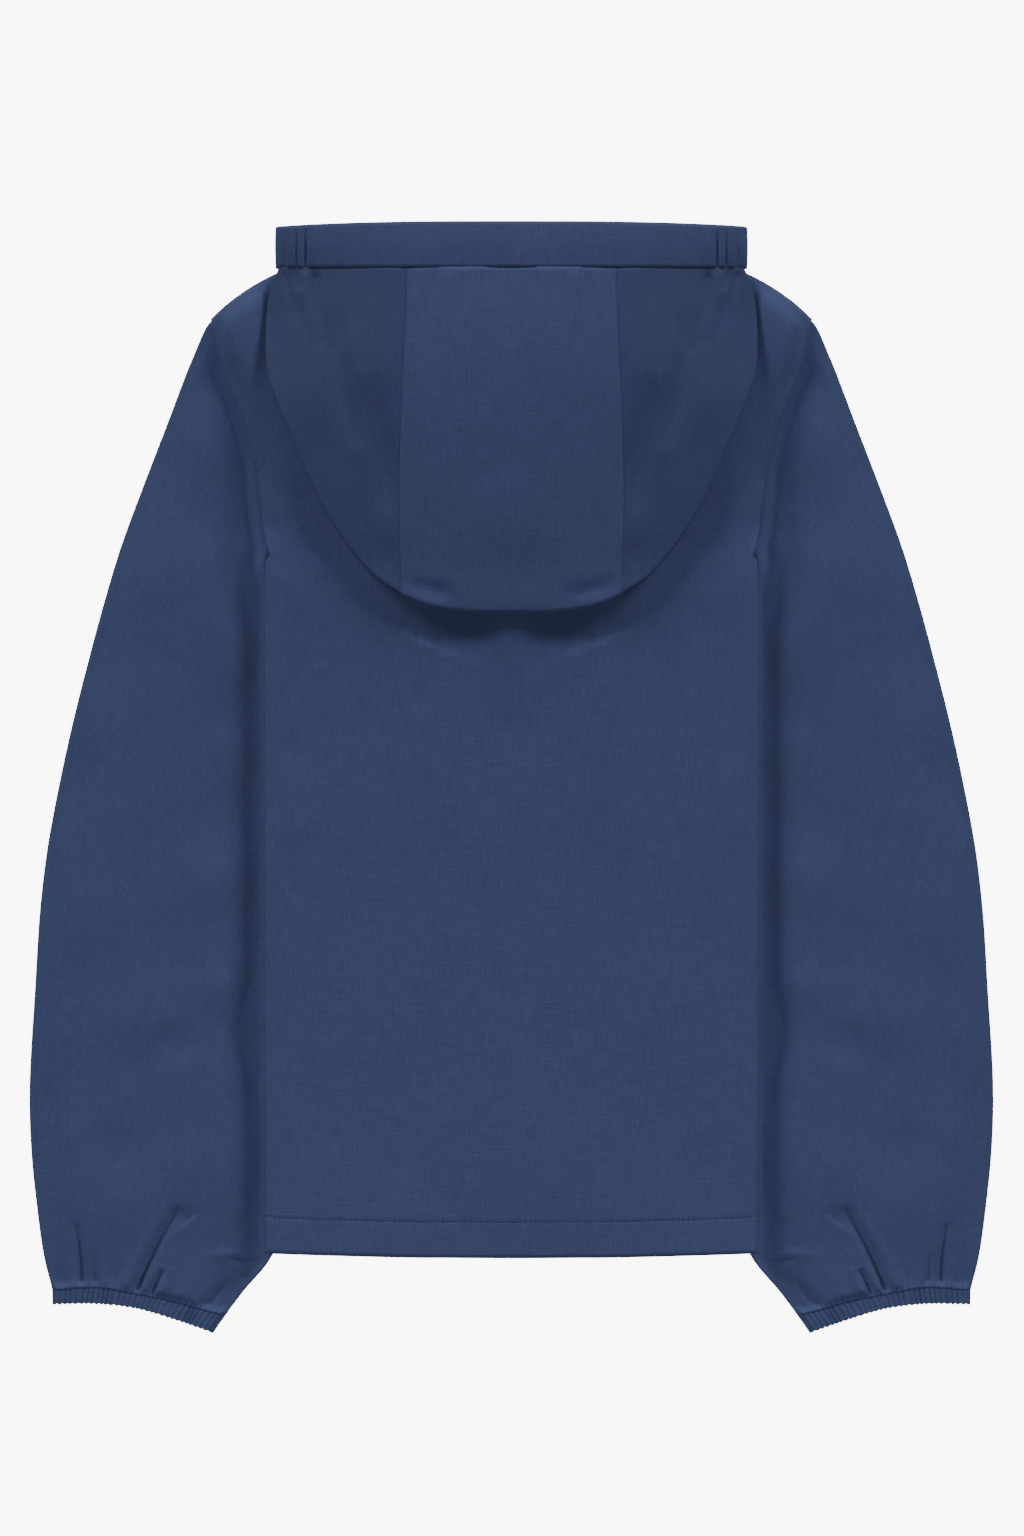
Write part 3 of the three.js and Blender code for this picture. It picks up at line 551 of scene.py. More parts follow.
def bodyRowsY(step):
    # rows up the body, closer at the hem's stitched groove and round the underarm
    hemLine = body["hemSide"] + body["hemDepth"]
    low = [np.arange(body["hemSide"], hemLine - 2.6, step), np.arange(hemLine - 2.4, hemLine + 2.6, step / 6)]
    return np.concatenate([*low, np.arange(hemLine + 3, 97, step), np.arange(97.4, 124, 1.6),
                           np.arange(124.5, body["tip"][1] + 0.1, step)])


def backTop(x):
    nx, ny = body["neck"]
    neckline = body["nape"] + (ny - body["nape"]) * (x / nx) ** 2
    return np.where(x < nx, neckline, yAtX(shoulderCurve, x))


def frontTop(x):
    nx, ny = body["neck"]
    neckline = body["frontNeck"] + (ny - body["frontNeck"]) * (x / nx) ** 2.2
    return np.where(x < nx, neckline, yAtX(shoulderCurve, x))


backForm = {
    "armholeRoll": 0.5,
    "pucker": 0.10,
    "bulge": 0.8,
    "groove": 0.2,
    "shoulderRoll": 3.7,
    "range": (-3.2, 2.8),
}


def backShown(x, y):
    # the back's lowest face with its creases, its hem's stitched groove and its armhole edge rolled down
    ax = np.abs(x)
    inside = edgeX(y) - ax
    bare = rise(inside, 0, 10) * fall(y, 150, 210)
    soft = creases(ax, y, backCreases) + ripple(ax, y, 11, 90, 0.3)
    roll = -backForm["armholeRoll"] * np.exp(-np.maximum(inside, 0) / 2.2) * rise(y, 119, 126)
    hemLine = hemY(x) + body["hemDepth"]
    uneven = np.sin(ax * 0.9 + 1.2 * np.sin(ax * 0.13))
    pucker = backForm["pucker"] * uneven * np.exp(-np.abs(y - hemLine) / 4)
    atFold = np.exp(-np.maximum(inside, 0) / 14) * fall(y, 108, 122)
    bulge = backForm["bulge"] * atFold * rise(y - hemY(x), 18, 60)
    groove = -backForm["groove"] * np.exp(-(((y - hemLine) / 0.8) ** 2))
    fromTop = yAtX(shoulderCurve, ax) - y
    onShoulder = rise(fromTop, 0, 14) * fall(fromTop, 16, 64) * rise(ax, 130, 142)
    shoulderRoll = backForm["shoulderRoll"] * onShoulder * rise(inside, 0, 9)
    creased = bare * np.clip(soft, *backForm["range"])
    level = backZ(x, y) + creased + roll + bulge + groove + pucker + shoulderRoll
    # the shoulder seam comes down to the front
    sewn = fall(fromTop, 0, 6) * rise(ax, 80, 88) * fall(ax, 138, 150)
    return level * (1 - sewn)


def backPiece():
    rowsY = bodyRowsY(2.4)
    grid, out = bodyGrid(rowsY, 66, 0, 1, 1, backShown, backTurnZ, backTop)
    left, leftOut = grid[:, ::-1] * [-1, 1, 1], out[:, ::-1] * [-1, 1, 1]
    middle = np.concatenate([left, grid[:, 1:]], axis=1)
    normal = np.concatenate([leftOut, out[:, 1:]], axis=1)
    return clothWall("back_cloth", middle, normal)


def frontPiece(side, name):
    rowsY = bodyRowsY(4.0)

    def lower(x, y):
        return frontZ(x, y) + hidden(x, y)

    grid, out = bodyGrid(rowsY, 48, body["zipGap"], side, -1, lower, frontTurnZ, frontTop, body["frontInset"])
    return clothWall(name, grid, out)


def patch(along, across):
    # Coons patch between the sleeve's four edges
    a, c = along[..., None], across[..., None]
    over, under = atShare(overArmCurve, along), atShare(underArmCurve, along)
    head, end = atShare(headCurve, across), atShare(cuffLineCurve, across)
    corner = [curve[i] for curve in (overArmCurve, underArmCurve) for i in (0, -1)]
    flat = ((corner[0] * (1 - c) + corner[2] * c) * (1 - a) + (corner[1] * (1 - c) + corner[3] * c) * a)
    return over * (1 - c) + under * c + head * (1 - a) + end * a - flat


def flatTube(name, place, along, upperCount, lowerCount, upperZ, lowerZ, side):
    # rings of a flattened tube: over the top, round the far edge, back underneath and round the near one
    turnCount = 7
    start, end = place(along, np.zeros_like(along)), place(along, np.ones_like(along))
    width = np.linalg.norm(end - start, axis=-1, keepdims=True)
    across = (end - start) / width
    push, half = layers["flush"], layers["cloth"] / 2

    def high(p, s):
        return upperZ(p[..., 0], p[..., 1], s) + half + push

    def low(p, s):
        return lowerZ(p[..., 0], p[..., 1], s) + half - push

    inset = [(high(p, s) - low(p, s)) / 2 / width[:, 0] for p, s in ((start, 0 * along), (end, 0 * along + 1))]
    first, last = inset[0], 1 - inset[1]

    def stretch(count, reverse=False):
        s = np.linspace(0, 1, count)[None, :]
        s = first[:, None] + (last - first)[:, None] * s
        return s[:, ::-1] if reverse else s

    def level(s, heights, up):
        p = place(np.broadcast_to(along[:, None], s.shape), s)
        points = np.concatenate([p, heights(p, s)[..., None]], -1)
        return points, upright(points, up)

    def turn(s, sign, fromTop):
        p = place(along, s)
        top, bottom = high(p, s), low(p, s)
        radius, centre = (top - bottom) / 2, (top + bottom) / 2
        angle = np.pi * np.arange(1, turnCount)[None, :] / turnCount - np.pi / 2
        angle = angle + 0 * radius[:, None]
        lift, run = -fromTop * np.sin(angle), sign * np.cos(angle)
        xy = p[:, None, :] + across[:, None, :] * (run * radius[:, None])[..., None]
        z = centre[:, None] + lift * radius[:, None]
        normal = np.concatenate([across[:, None, :] * run[..., None], lift[..., None]], -1)
        return np.concatenate([xy, z[..., None]], -1), normal

    parts = [
        level(stretch(upperCount), high, 1),
        turn(last, 1, 1),
        level(stretch(lowerCount, True), low, -1),
        turn(first, -1, -1),
    ]
    middle = np.concatenate([p for p, _ in parts], axis=1)
    out = np.concatenate([n for _, n in parts], axis=1)
    middle[..., 0] *= side
    out = out * [side, 1, 1]
    return clothWall(name, middle, out, closed=True)


def pastCuffLine(x, y):
    return y - yAtX(cuffLineCurve, np.abs(x))


def cuffPhase(s):
    return s * cuffs["gathers"] * fullTurn + 0.9 * np.sin(s * 23) + 0.5 * np.sin(s * 61)


def cuffPlace(along, across):
    # the casing starts a little way inside the sleeve
    drop = (1 + cuffs["overlap"]) * along[..., None] - cuffs["overlap"]
    place = atShare(cuffLineCurve, across) * (1 - drop) + atShare(cuffEdgeCurve, across) * drop
    return place + np.stack([0 * across, cuffs["edgeWave"] * np.cos(cuffPhase(across)) * along**3], -1)


def cuffSeam(s):
    # height of the gathered seam that the sleeve's end and the casing share
    ends = rise(s, 0.0, 0.04) * fall(s, 0.96, 1.0)
    tight = 0.4 + 0.6 * fall(s, 0.42, 0.56) + 0.9 * np.exp(-(((s - 0.8) / 0.05) ** 2))
    return layers["pitch"] + ends * (cuffs["full"] + cuffs["wave"] * tight * np.cos(cuffPhase(s)))


def cuffTuck(x, y):
    return cuffs["tuck"] * rise(pastCuffLine(x, y), -0.5, 0.3)


def cuffUpper(x, y, s):
    return cuffSeam(s) - cuffTuck(x, y)


def cuffPiece(side, name):
    def lower(x, y, s):
        return cuffTuck(x, y)

    return flatTube(name, cuffPlace, np.linspace(0, 1, 14), 300, 60, cuffUpper, lower, side)


def sleevePiece(side, name):
    head, arm, end = np.linspace(0, 0.1, 22), np.linspace(0.1, 0.87, 116), np.linspace(0.87, 1, 60)
    along = np.concatenate([head, arm[1:], end[1:]])

    def upper(x, y, s):
        sewn = fall(pastCuffLine(x, y), 0.3, 5)
        return sleeveUpperZ(x, y) * (1 - sewn) + cuffSeam(s) * sewn

    def lower(x, y, s):
        atEnds = rise(s, 0, 0.12) * fall(s, 0.88, 1) * rise(pastCuffLine(x, y), 2, 12)
        return sleeveLowerZ(x, y) + hidden(x, y) * atEnds

    return flatTube(name, patch, along, 128, 64, upper, lower, side)


def hoodShown(x, y):
    # the hood's upper layer with its creases, tucked under the band
    ax = np.abs(x)
    soft = creases(ax, y, hoodCreases) + ripple(ax, y, 23, 60, 0.18)
    away = rise(band["seam"] - y, 0, 6)
    tuck = -0.12 * np.exp(-np.abs(band["seam"] - y) / 2.0)
    return hoodUpperZ(x, y) + soft * away + tuck


def seamDip(share, ends):
    # a panel's edges sink a little where they are sewn together; the centre lies a trace above the sides
    near = np.minimum(share if ends[0] else 1.0, (1 - share) if ends[1] else 1.0)
    step = hood["seamStep"] if ends[0] else -hood["seamStep"]
    return step - hood["seamDip"] * np.exp(-near / hood["dipShare"])


def hoodGrid(start, rim, neck, bow, dip):
    # sections from the band over the top, round the crown's fold and back to the neck
    topCount, turnCount, lowCount = 72, 10, 26
    run = rim - start
    run = run / np.linalg.norm(run, axis=1, keepdims=True)
    push, half = layers["flush"], layers["cloth"] / 2
    radius = (hoodUpperZ(rim[:, 0], rim[:, 1]) - hoodLowerZ(rim[:, 0], rim[:, 1])) / 2
    turnAt = rim - run * (radius + half)[:, None]
    s = np.linspace(0, 1, topCount)[None, :]
    x = start[:, :1] + (turnAt[:, :1] - start[:, :1]) * s + bow[:, None] * np.sin(np.pi * s) * s
    y = start[:, 1:] + (turnAt[:, 1:] - start[:, 1:]) * s
    z = hoodShown(x, y) + half + push + dip[:, None] * fall(s, 0.97, 1.0)
    top = np.stack([x, y, z], -1)
    high = top[:, -1, 2]
    low = hoodLowerZ(turnAt[:, 0], turnAt[:, 1]) + half - push
    angle = np.pi / 2 - np.pi * np.arange(1, turnCount)[None, :] / turnCount
    reach = ((high - low) / 2)[:, None] * np.cos(angle)
    xy = turnAt[:, None, :] + run[:, None, :] * reach[..., None]
    zTurn = ((high + low) / 2)[:, None] + ((high - low) / 2)[:, None] * np.sin(angle)
    turn = np.concatenate([xy, zTurn[..., None]], -1)
    turnOut = np.concatenate([run[:, None, :] * np.cos(angle)[..., None],
                              np.broadcast_to(np.sin(angle)[..., None], zTurn.shape + (1,))], -1)
    s = np.linspace(0, 1, lowCount)[None, :, None]
    back = turnAt[:, None, :] + (neck - turnAt)[:, None, :] * s
    zBack = hoodLowerZ(back[..., 0], back[..., 1]) + half - push
    under = np.concatenate([back, zBack[..., None]], -1)
    out = np.concatenate([upright(top, 1), turnOut, upright(under, -1)], 1)
    return np.concatenate([top, turn, under], 1), out


def hoodSidePiece(side, name):
    count = 64
    share = np.linspace(0, 1, count)
    rim = atShare(throughPoints(hood["outline"]), share)
    startX = hood["bandEnd"] + (hood["seamX"] - hood["bandEnd"]) * share
    start = np.stack([startX, np.full(count, band["seam"] + hood["underBand"])], -1)
    neckX = body["neck"][0] - 2 + (hood["seamNeck"] - body["neck"][0] + 2) * share
    neck = np.stack([neckX, backTop(neckX) - 1], -1)
    middle, out = hoodGrid(start, rim, neck, hood["seamBow"] * share, seamDip(share, (False, True)))
    flip = [side, 1, 1]
    return clothWall(name, middle * flip, out * flip)


def hoodCentrePiece():
    count = 81
    share = np.linspace(-1, 1, count)
    rim = atShare(throughPoints(hood["crown"]), 1 - np.abs(share))
    rim[:, 0] *= np.sign(share)
    start = np.stack([share * hood["seamX"], np.full(count, band["seam"] + hood["underBand"])], -1)
    neckX = share * hood["seamNeck"]
    neck = np.stack([neckX, backTop(np.abs(neckX)) - 1], -1)
    dip = seamDip((share + 1) / 2, (True, True))
    middle, out = hoodGrid(start, rim, neck, hood["seamBow"] * share, dip)
    return clothWall("hood_centre_cloth", middle, out)


def bandTopZ(x, share):
    # the band's middle: rolled over at its free edge, and gathered into ridges near its ends
    ax = np.abs(x)
    gathers = sum(high * np.exp(-(((ax - at) / wide) ** 2)) for at, wide, high in band["gathers"])
    atSeam = hoodUpperZ(x, band["seam"]) + layers["cloth"] / 2 - band["sunk"]
    atFree = 3 * layers["pitch"] + layers["cloth"] / 2
    belly = band["belly"] * np.sin(np.pi * np.clip(share, 0, 1))
    soft = ripple(ax, share * band["width"], 31, 40, 0.12)
    held = np.sin(np.pi * np.clip(share, 0.04, 0.96)) ** 0.35
    return atSeam + (atFree - atSeam) * share + gathers * held + band["lift"] + belly + soft


def bandPiece():
    # sections across the band, from the zip up beside the neck, round the corner, over the top and back
    corner = band["half"] - band["turn"]
    shares = np.linspace(0, 1, 13)[None, :]
    push, half = layers["flush"], layers["cloth"] / 2

    def underRun(x):
        low = frontTop(x) + band["offNeck"]
        return low, np.minimum(low + band["width"], band["corner"] - 1)

    def overRun(x):
        bow = (band["top"] - band["corner"]) * (x / band["half"]) ** 3
        return np.full_like(x, band["seam"]), band["top"] - bow

    xUnder = np.concatenate([[band["zipEnd"]], np.linspace(5, corner, 90)])
    low, free = underRun(xUnder)
    y = low[:, None] + (free - low)[:, None] * shares
    z = liftAtZip(xUnder, low)[:, None] + half - push + 0 * y
    under = np.stack([xUnder[:, None] + 0 * y, y, z], -1)
    count = 12
    angle = (np.pi * np.arange(1, count) / count - np.pi / 2)[:, None]
    mix = (np.arange(1, count) / count)[:, None]
    overLow, overFree = overRun(np.array([corner]))
    lowY = low[-1] + (overLow - low[-1]) * mix
    freeY = free[-1] + (overFree - free[-1]) * mix
    y = lowY + (freeY - lowY) * shares
    top = bandTopZ(corner, shares) + push
    bottom = half - push
    radius = (top - bottom) / 2
    x = corner + np.minimum(radius, band["turnReach"]) * np.cos(angle)
    turn = np.stack([x, y, bottom + radius + radius * np.sin(angle)], -1)
    turnOut = np.stack([np.cos(angle) + 0 * y, 0 * y, np.sin(angle) + 0 * y], -1)
    gathered = np.linspace(corner, band["gathersFrom"], 70)
    xOver = np.concatenate([gathered, np.linspace(band["gathersFrom"], 0, 60)[1:]])
    low, free = overRun(xOver)
    y = low[:, None] + (free - low)[:, None] * shares
    over = np.stack([xOver[:, None] + 0 * y, y, bandTopZ(xOver[:, None], shares) + push], -1)
    right = np.concatenate([under, turn, over])
    rightOut = np.concatenate([upright(under, -1), turnOut, upright(over, 1)])
    middle = np.concatenate([right, right[-2::-1] * [-1, 1, 1]])
    out = np.concatenate([rightOut, rightOut[-2::-1] * [-1, 1, 1]])
    return clothWall("hood_band_cloth", middle, out)


def rods(name, centre, ahead, normal, length, radius, material):
    # short rods with rounded ends, all in one mesh
    ahead = ahead / np.linalg.norm(ahead, axis=1, keepdims=True)
    aside = np.cross(ahead, np.broadcast_to(np.array(normal, float), ahead.shape))
    aside = aside / np.linalg.norm(aside, axis=1, keepdims=True)
    up = np.cross(aside, ahead)
    profile = np.array([(-0.5, 0.25, -0.12), (-0.36, 0.9, 0), (0, 1, 0.06), (0.36, 0.9, 0), (0.5, 0.25, -0.12)])
    ring = 6
    angle = np.arange(ring) * np.pi / 3
    width = radius * profile[:, 1, None] * np.cos(angle)
    height = radius * profile[:, 1, None] * np.sin(angle) + profile[:, 2, None]
    points = (centre[:, None, None, :]
              + ahead[:, None, None, :] * (profile[:, 0] * length)[None, :, None, None]
              + aside[:, None, None, :] * width[None, :, :, None]
              + up[:, None, None, :] * height[None, :, :, None])
    i, k = np.arange(ring), (np.arange(ring) + 1) % ring
    around = np.stack([i, k, ring + k, ring + i], 1)
    ends = np.array([[3, 2, 1, 0], [0, 5, 4, 3], [24, 25, 26, 27], [27, 28, 29, 24]])
    quads = np.concatenate([around + j * ring for j in range(len(profile) - 1)] + [ends])
    perRod = ring * len(profile)
    quads = (quads[None] + (np.arange(len(centre)) * perRod)[:, None, None]).reshape(-1, 4)
    points = points.reshape(-1, 3)
    piece = putMesh(name, points, quads, points[:, :2].copy())
    piece.data.materials.append(material)
    return piece


sewing = {
    "bandInset": 1.1,
    "bandHalf": 126,
    "bandLift": 0.52,
    "hemHalf": 131.5,
    "off": 0.02,  # how far the thread's middle lies off or in the cloth's face
    "cuffRow": 0.1,
    "offZip": 2.5,
}


def stitches(name, line, normal, pitch=3.0, length=2.5, radius=0.2):
    # a row of threads along a line of points in millimetres
    step = np.linalg.norm(np.diff(line, axis=0), axis=1)
    run = np.concatenate([[0], np.cumsum(step)])
    at = np.arange(pitch / 2, run[-1], pitch)

    def read(where):
        return np.stack([np.interp(where, run, line[:, i]) for i in range(3)], -1)

    ahead = read(at + length / 2) - read(at - length / 2)
    return rods(name, read(at), ahead, normal, length, radius, sewingThread)


weaveLook = {
    "specular": 0.02,
    "sheen": 0.02,
    "sheenRough": 0.5,
    "sheenTint": (0.1, 0.16, 0.35, 1),
    "streak": 0.484,
    "cloud": 0.16,
    "threads": 420,
    "slub": 1.2,
    "relief": 0.00012,
}


def clothMaterial(name, colour, rough=0.75, weave=0.35):
    # plain weave: threads both ways with slubs as bump, streaks and clouds of tone, a trace of sheen
    material = bpy.data.materials.new(name)
    material.use_nodes = True
    nodes, links = material.node_tree.nodes, material.node_tree.links
    shader = nodes["Principled BSDF"]
    shader.inputs["Roughness"].default_value = rough
    shader.inputs["Specular IOR Level"].default_value = weaveLook["specular"]
    shader.inputs["Sheen Weight"].default_value = weaveLook["sheen"]
    shader.inputs["Sheen Roughness"].default_value = weaveLook["sheenRough"]
    shader.inputs["Sheen Tint"].default_value = weaveLook["sheenTint"]
    coords = nodes.new("ShaderNodeTexCoord")

    def stretched(scale, detail):
        mapping = nodes.new("ShaderNodeMapping")
        mapping.inputs["Scale"].default_value = scale
        links.new(coords.outputs["UV"], mapping.inputs["Vector"])
        noise = nodes.new("ShaderNodeTexNoise")
        noise.inputs["Scale"].default_value = 1
        noise.inputs["Detail"].default_value = detail
        noise.inputs["Roughness"].default_value = 0.6
        links.new(mapping.outputs["Vector"], noise.inputs["Vector"])
        return noise.outputs["Fac"]

    def mixed(a, b, kind):
        node = nodes.new("ShaderNodeMath")
        node.operation = kind
        for socket, value in zip(node.inputs, (a, b)):
            if isinstance(value, (int, float)):
                socket.default_value = value
            else:
                links.new(value, socket)
        return node.outputs[0]

    weft, warp = stretched((70, 1300, 1), 4), stretched((1400, 80, 1), 4)
    cloud = stretched((14, 14, 1), 3)
    threads = mixed(mixed(weft, warp, "ADD"), 1.0, "SUBTRACT")
    streaks = mixed(threads, weaveLook["streak"], "MULTIPLY")
    clouds = mixed(mixed(cloud, 0.5, "SUBTRACT"), weaveLook["cloud"], "MULTIPLY")
    light = mixed(mixed(streaks, clouds, "ADD"), 1.0, "ADD")
    base = nodes.new("ShaderNodeVectorMath")
    base.operation = "SCALE"
    base.inputs[0].default_value = colour
    links.new(light, base.inputs["Scale"])
    links.new(base.outputs["Vector"], shader.inputs["Base Color"])

    def threadWave(direction):
        wave = nodes.new("ShaderNodeTexWave")
        wave.wave_type = "BANDS"
        wave.bands_direction = direction
        wave.inputs["Scale"].default_value = weaveLook["threads"]
        wave.inputs["Distortion"].default_value = 0.6
        links.new(coords.outputs["UV"], wave.inputs["Vector"])
        return wave.outputs["Fac"]

    crossed = mixed(threadWave("X"), threadWave("Y"), "MULTIPLY")
    height = mixed(crossed, mixed(threads, weaveLook["slub"], "MULTIPLY"), "ADD")
    bump = nodes.new("ShaderNodeBump")
    bump.inputs["Strength"].default_value = weave
    bump.inputs["Distance"].default_value = weaveLook["relief"]
    links.new(height, bump.inputs["Height"])
    links.new(bump.outputs["Normal"], shader.inputs["Normal"])
    return material


def plainMaterial(name, colour, rough, shine=0.5):
    # thread and plastic: one colour, with fine changes of tone and roughness
    material = bpy.data.materials.new(name)
    material.use_nodes = True
    nodes, links = material.node_tree.nodes, material.node_tree.links
    shader = nodes["Principled BSDF"]
    shader.inputs["Specular IOR Level"].default_value = shine
    coords = nodes.new("ShaderNodeTexCoord")
    noise = nodes.new("ShaderNodeTexNoise")
    noise.inputs["Scale"].default_value = 900
    noise.inputs["Detail"].default_value = 3
    links.new(coords.outputs["Object"], noise.inputs["Vector"])
    ramp = nodes.new("ShaderNodeMapRange")
    ramp.inputs["To Min"].default_value = rough - 0.06
    ramp.inputs["To Max"].default_value = rough + 0.08
    links.new(noise.outputs["Fac"], ramp.inputs["Value"])
    links.new(ramp.outputs["Result"], shader.inputs["Roughness"])
    tone = nodes.new("ShaderNodeMapRange")
    tone.inputs["To Min"].default_value = 0.9
    tone.inputs["To Max"].default_value = 1.12
    links.new(noise.outputs["Fac"], tone.inputs["Value"])
    base = nodes.new("ShaderNodeVectorMath")
    base.operation = "SCALE"
    base.inputs[0].default_value = colour
    links.new(tone.outputs["Result"], base.inputs["Scale"])
    links.new(base.outputs["Vector"], shader.inputs["Base Color"])
    return material


sewingThread = plainMaterial("sewing_thread", (0.018, 0.025, 0.058), 0.9, shine=0.03)
navy = (0.0308, 0.0406, 0.0920)
raincoatCloth = clothMaterial("raincoat_cloth", navy)
# painted shade: the hood's pieces are copies of the cloth painted a little darker, and the side panels, cut
# across the grain, darker still for the lower sheen their threads show to the lamps
hoodPaintedShadeCloth = clothMaterial("hood_cloth_painted_shade", tuple(0.91 * part for part in navy))
hoodSidePaintedShadeCloth = clothMaterial("hood_side_cloth_painted_shade", tuple(0.77 * part for part in navy))


def dress(piece, material):
    piece.data.materials.clear()
    piece.data.materials.append(material)


def show(piece, node, cloth=raincoatCloth):
    dress(piece, cloth)
    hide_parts(node)


show(backPiece(), "back")
print("back made")
for side, word in ((-1, "left"), (1, "right")):
    show(frontPiece(side, f"front_{word}_cloth"), f"front_{word}")
    show(sleevePiece(side, f"sleeve_{word}_cloth"), f"sleeve_{word}")
    show(cuffPiece(side, f"cuff_{word}_cloth"), f"cuff_{word}")
    # the hood's sides wear the copy of the cloth with painted shade
    show(hoodSidePiece(side, f"hood_side_{word}_cloth"), f"hood_side_{word}",
         cloth=hoodSidePaintedShadeCloth)
print("fronts, sleeves, cuffs and hood sides made")
# the hood's middle and its band wear the copy of the cloth with painted shade
show(hoodCentrePiece(), "hood_centre", cloth=hoodPaintedShadeCloth)
show(bandPiece(), "hood_band", cloth=hoodPaintedShadeCloth)
print("hood and band made")

# rows of stitches, on the upper faces and on the faces towards the table
above, below = (0, 0, 1), (0, 0, -1)
x = np.linspace(-sewing["bandHalf"], sewing["bandHalf"], 400)
z = bandTopZ(x, sewing["bandInset"] / band["width"]) + sewing["bandLift"]
stitches("band_stitches", np.stack([x, band["seam"] + sewing["bandInset"] + 0 * x, z], -1), above)
x = np.linspace(-sewing["hemHalf"], sewing["hemHalf"], 400)
y = hemY(x) + body["hemDepth"]
stitches("hem_stitches", np.stack([x, y, backShown(x, y) + layers["cloth"] + sewing["off"]], -1), above)
for side, word in ((-1, "left"), (1, "right")):
    share = np.linspace(0.03, 0.97, 200)
    x, y = cuffPlace(np.full(200, sewing["cuffRow"]), share).T
    z = cuffUpper(x, y, share) + layers["cloth"] - sewing["off"]
    stitches(f"cuff_{word}_stitches", np.stack([x * side, y, z], -1), above, pitch=2.6, length=2.0, radius=0.14)
    stitches(f"cuff_{word}_under_stitches", np.stack([x * side, y, 0 * z + sewing["off"]], -1), below)
    x = np.linspace(body["zipGap"] + 1, body["fold"] - 1, 200)
    y = hemY(x) + body["hemDepth"]
    stitches(f"front_{word}_hem_stitches", np.stack([x * side, y, frontZ(x, y) - sewing["off"]], -1), below)
    y = np.linspace(-258, 214, 400)
    x = np.full(400, body["zipGap"] + sewing["offZip"])
    stitches(f"front_{word}_zip_stitches", np.stack([x * side, y, frontZ(x, y) - sewing["off"]], -1), below)
print("stitches made")

# Zip: two woven tapes with a closed row of teeth below them, the slider and its tab
zipper = {
    "low": -258,
    "high": 216,
    "inner": 0.5,
    "outer": 12.5,
    "cordX": 2.6,
    "cord": 0.12,
    "pitch": 1.4,
    "teethEnd": 202,
    "tooth": 2.5,
    "toothRadius": 0.5,
    "toothX": 0.55,
    "toothSink": 0.05,
    "toothLean": 0.22,
}


def zipTape(side, name):
    x = np.concatenate([np.linspace(zipper["inner"], 1.6, 4), np.linspace(2, zipper["outer"], 12)])[None, :]
    y = np.arange(zipper["low"], zipper["high"] + 1, 3.0)[:, None]
    x, y = x + 0 * y, np.minimum(y, zipper["high"]) + 0 * x
    cord = zipper["cord"] * np.exp(-(((x - zipper["cordX"]) / 0.5) ** 2))
    z = liftAtZip(x, y) + layers["cloth"] + layers["seam"] + layers["thin"] / 2 - cord
    middle = np.stack([x * side, y, z], -1)
    return clothWall(name, middle, upright(middle, -1))


zipPlastic = plainMaterial("zip_plastic", (0.022, 0.033, 0.073), 0.32)
zipWeave = clothMaterial("zip_tape_weave", (0.015, 0.022, 0.050), rough=0.85, weave=0.6)
for side, word in ((-1, "left"), (1, "right")):
    tapeCloth = zipTape(side, f"zip_tape_{word}_cloth")
    dress(tapeCloth, zipWeave)
    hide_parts(f"zip_tape_{word}")
y = np.arange(zipper["low"] + 1, zipper["teethEnd"], zipper["pitch"] / 2)
turn = np.where(np.arange(len(y)) % 2, 1.0, -1.0)
z = liftAtZip(0 * y, y) + layers["cloth"] + layers["seam"] - zipper["toothRadius"] + zipper["toothSink"]
ahead = np.stack([turn, zipper["toothLean"] + 0 * y, 0 * y], -1)
teeth = rods("zip_teeth", np.stack([turn * zipper["toothX"], y, z], -1), ahead, below,
             zipper["tooth"], zipper["toothRadius"], zipPlastic)
for node in ("zip_slider", "zip_pull"):
    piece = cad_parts[node]
    piece.data.materials.clear()
    piece.data.materials.append(zipPlastic)
print("zip made")

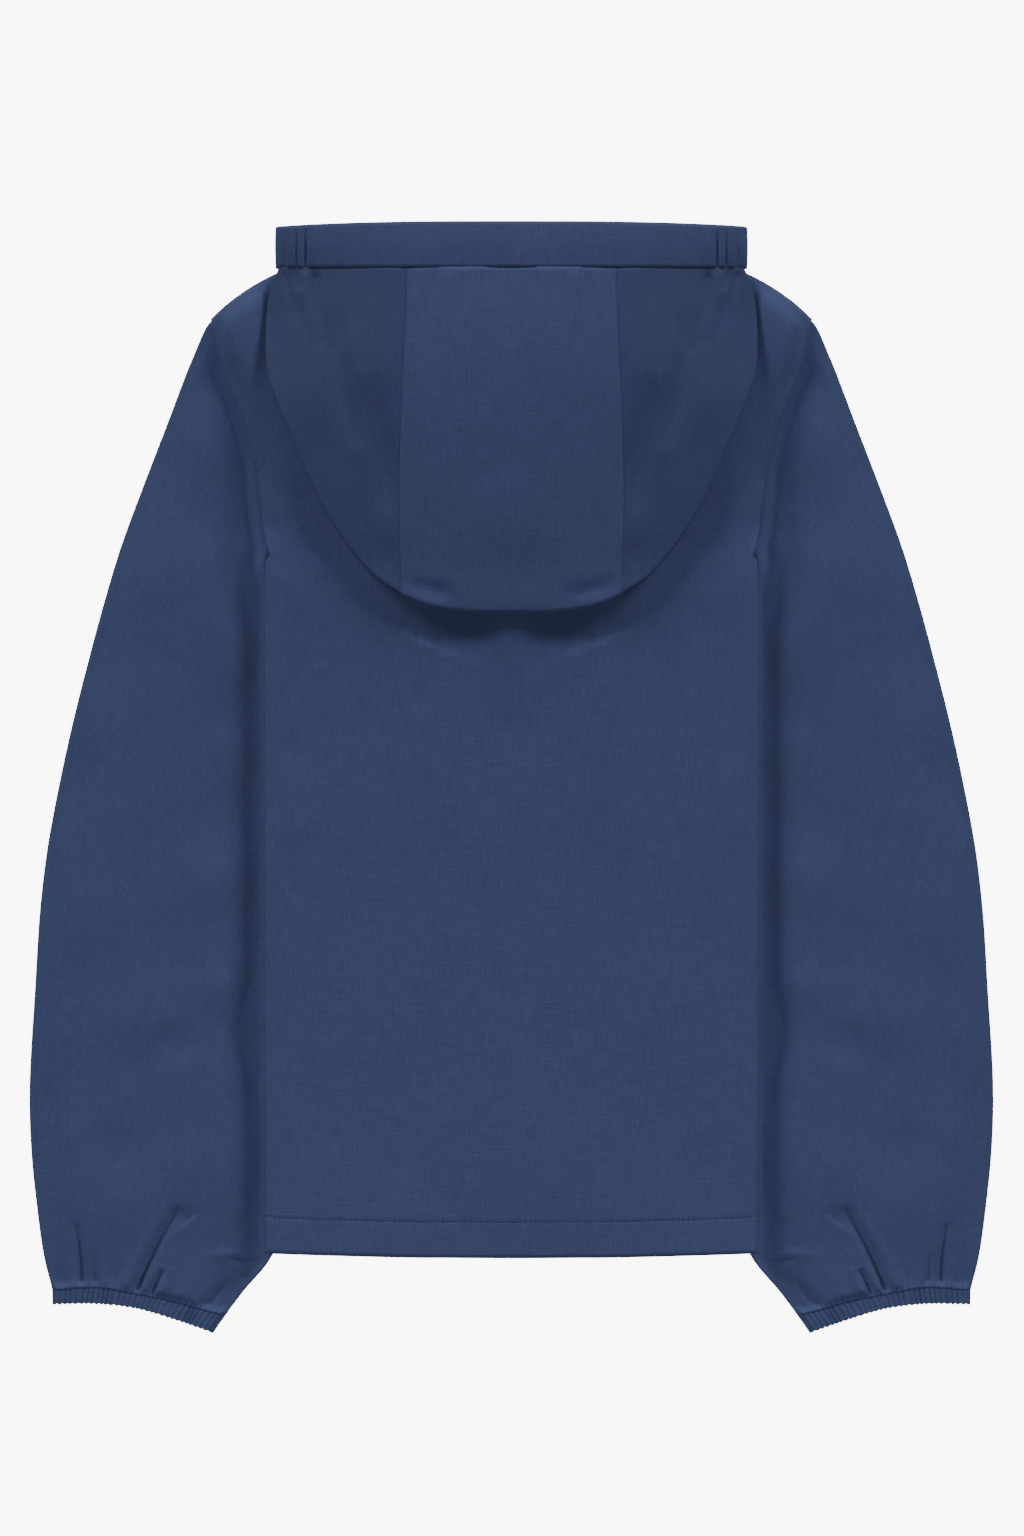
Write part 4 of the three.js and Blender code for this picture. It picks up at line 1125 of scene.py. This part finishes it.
# Floor, light and camera
stage = {
    "floor": 14.0,
    "floorLevel": -0.0003,
    "floorColour": (0.9, 0.9, 0.9),
    "floorRough": 0.95,
    "floorGlow": 8.0,
    "roomLight": 0.055,
    "sensor": 36,
    "cameraHeight": 3.0,
    "viewHeight": 0.8448,
    "centre": (0.0003, 0.005),
    "farthest": 20,
}
bpy.ops.mesh.primitive_plane_add(size=stage["floor"], location=(0, 0, stage["floorLevel"]))
floor = bpy.context.object
floor.name = "floor"
floorMaterial = bpy.data.materials.new("pale_floor")
floorMaterial.use_nodes = True
floorShader = floorMaterial.node_tree.nodes["Principled BSDF"]
floorShader.inputs["Base Color"].default_value = (*stage["floorColour"], 1)
floorShader.inputs["Roughness"].default_value = stage["floorRough"]
floorShader.inputs["Specular IOR Level"].default_value = 0.0
floorShader.inputs["Emission Color"].default_value = (1, 1, 1, 1)
floorShader.inputs["Emission Strength"].default_value = stage["floorGlow"]
floor.data.materials.append(floorMaterial)
# the floor glows so that it shows as lit white, yet throws no light up at the cloth
floor.visible_diffuse = False
floor.visible_glossy = False

world = bpy.data.worlds.new("soft_room")
bpy.context.scene.world = world
world.use_nodes = True
world.node_tree.nodes["Background"].inputs["Color"].default_value = (1, 1, 1, 1)
world.node_tree.nodes["Background"].inputs["Strength"].default_value = stage["roomLight"]


def softbox(name, place, size, watts):
    # a square lamp in metres and watts, turned towards the middle of the coat
    lamp = bpy.data.lights.new(name, "AREA")
    lamp.size = size
    lamp.energy = watts
    box = bpy.data.objects.new(name, lamp)
    box.location = place
    aim = -np.array(place) / np.linalg.norm(place)
    box.rotation_euler = (np.arccos(-aim[2]), 0, np.arctan2(-aim[0], aim[1]))
    bpy.context.scene.collection.objects.link(box)


softbox("top_left_light", (-2.9, 3.1, 1.2), 1.2, 300)
softbox("top_right_light", (2.9, 3.1, 1.2), 1.2, 300)
softbox("low_light", (0, -0.95, 1.3), 0.8, 19)

camera = bpy.data.cameras.new("camera")
camera.sensor_width = stage["sensor"]
camera.lens = stage["sensor"] * stage["cameraHeight"] / stage["viewHeight"]
camera.clip_end = stage["farthest"]
eye = bpy.data.objects.new("camera", camera)
eye.location = (*stage["centre"], stage["cameraHeight"])
bpy.context.scene.collection.objects.link(eye)
bpy.context.scene.camera = eye

print("stage set")
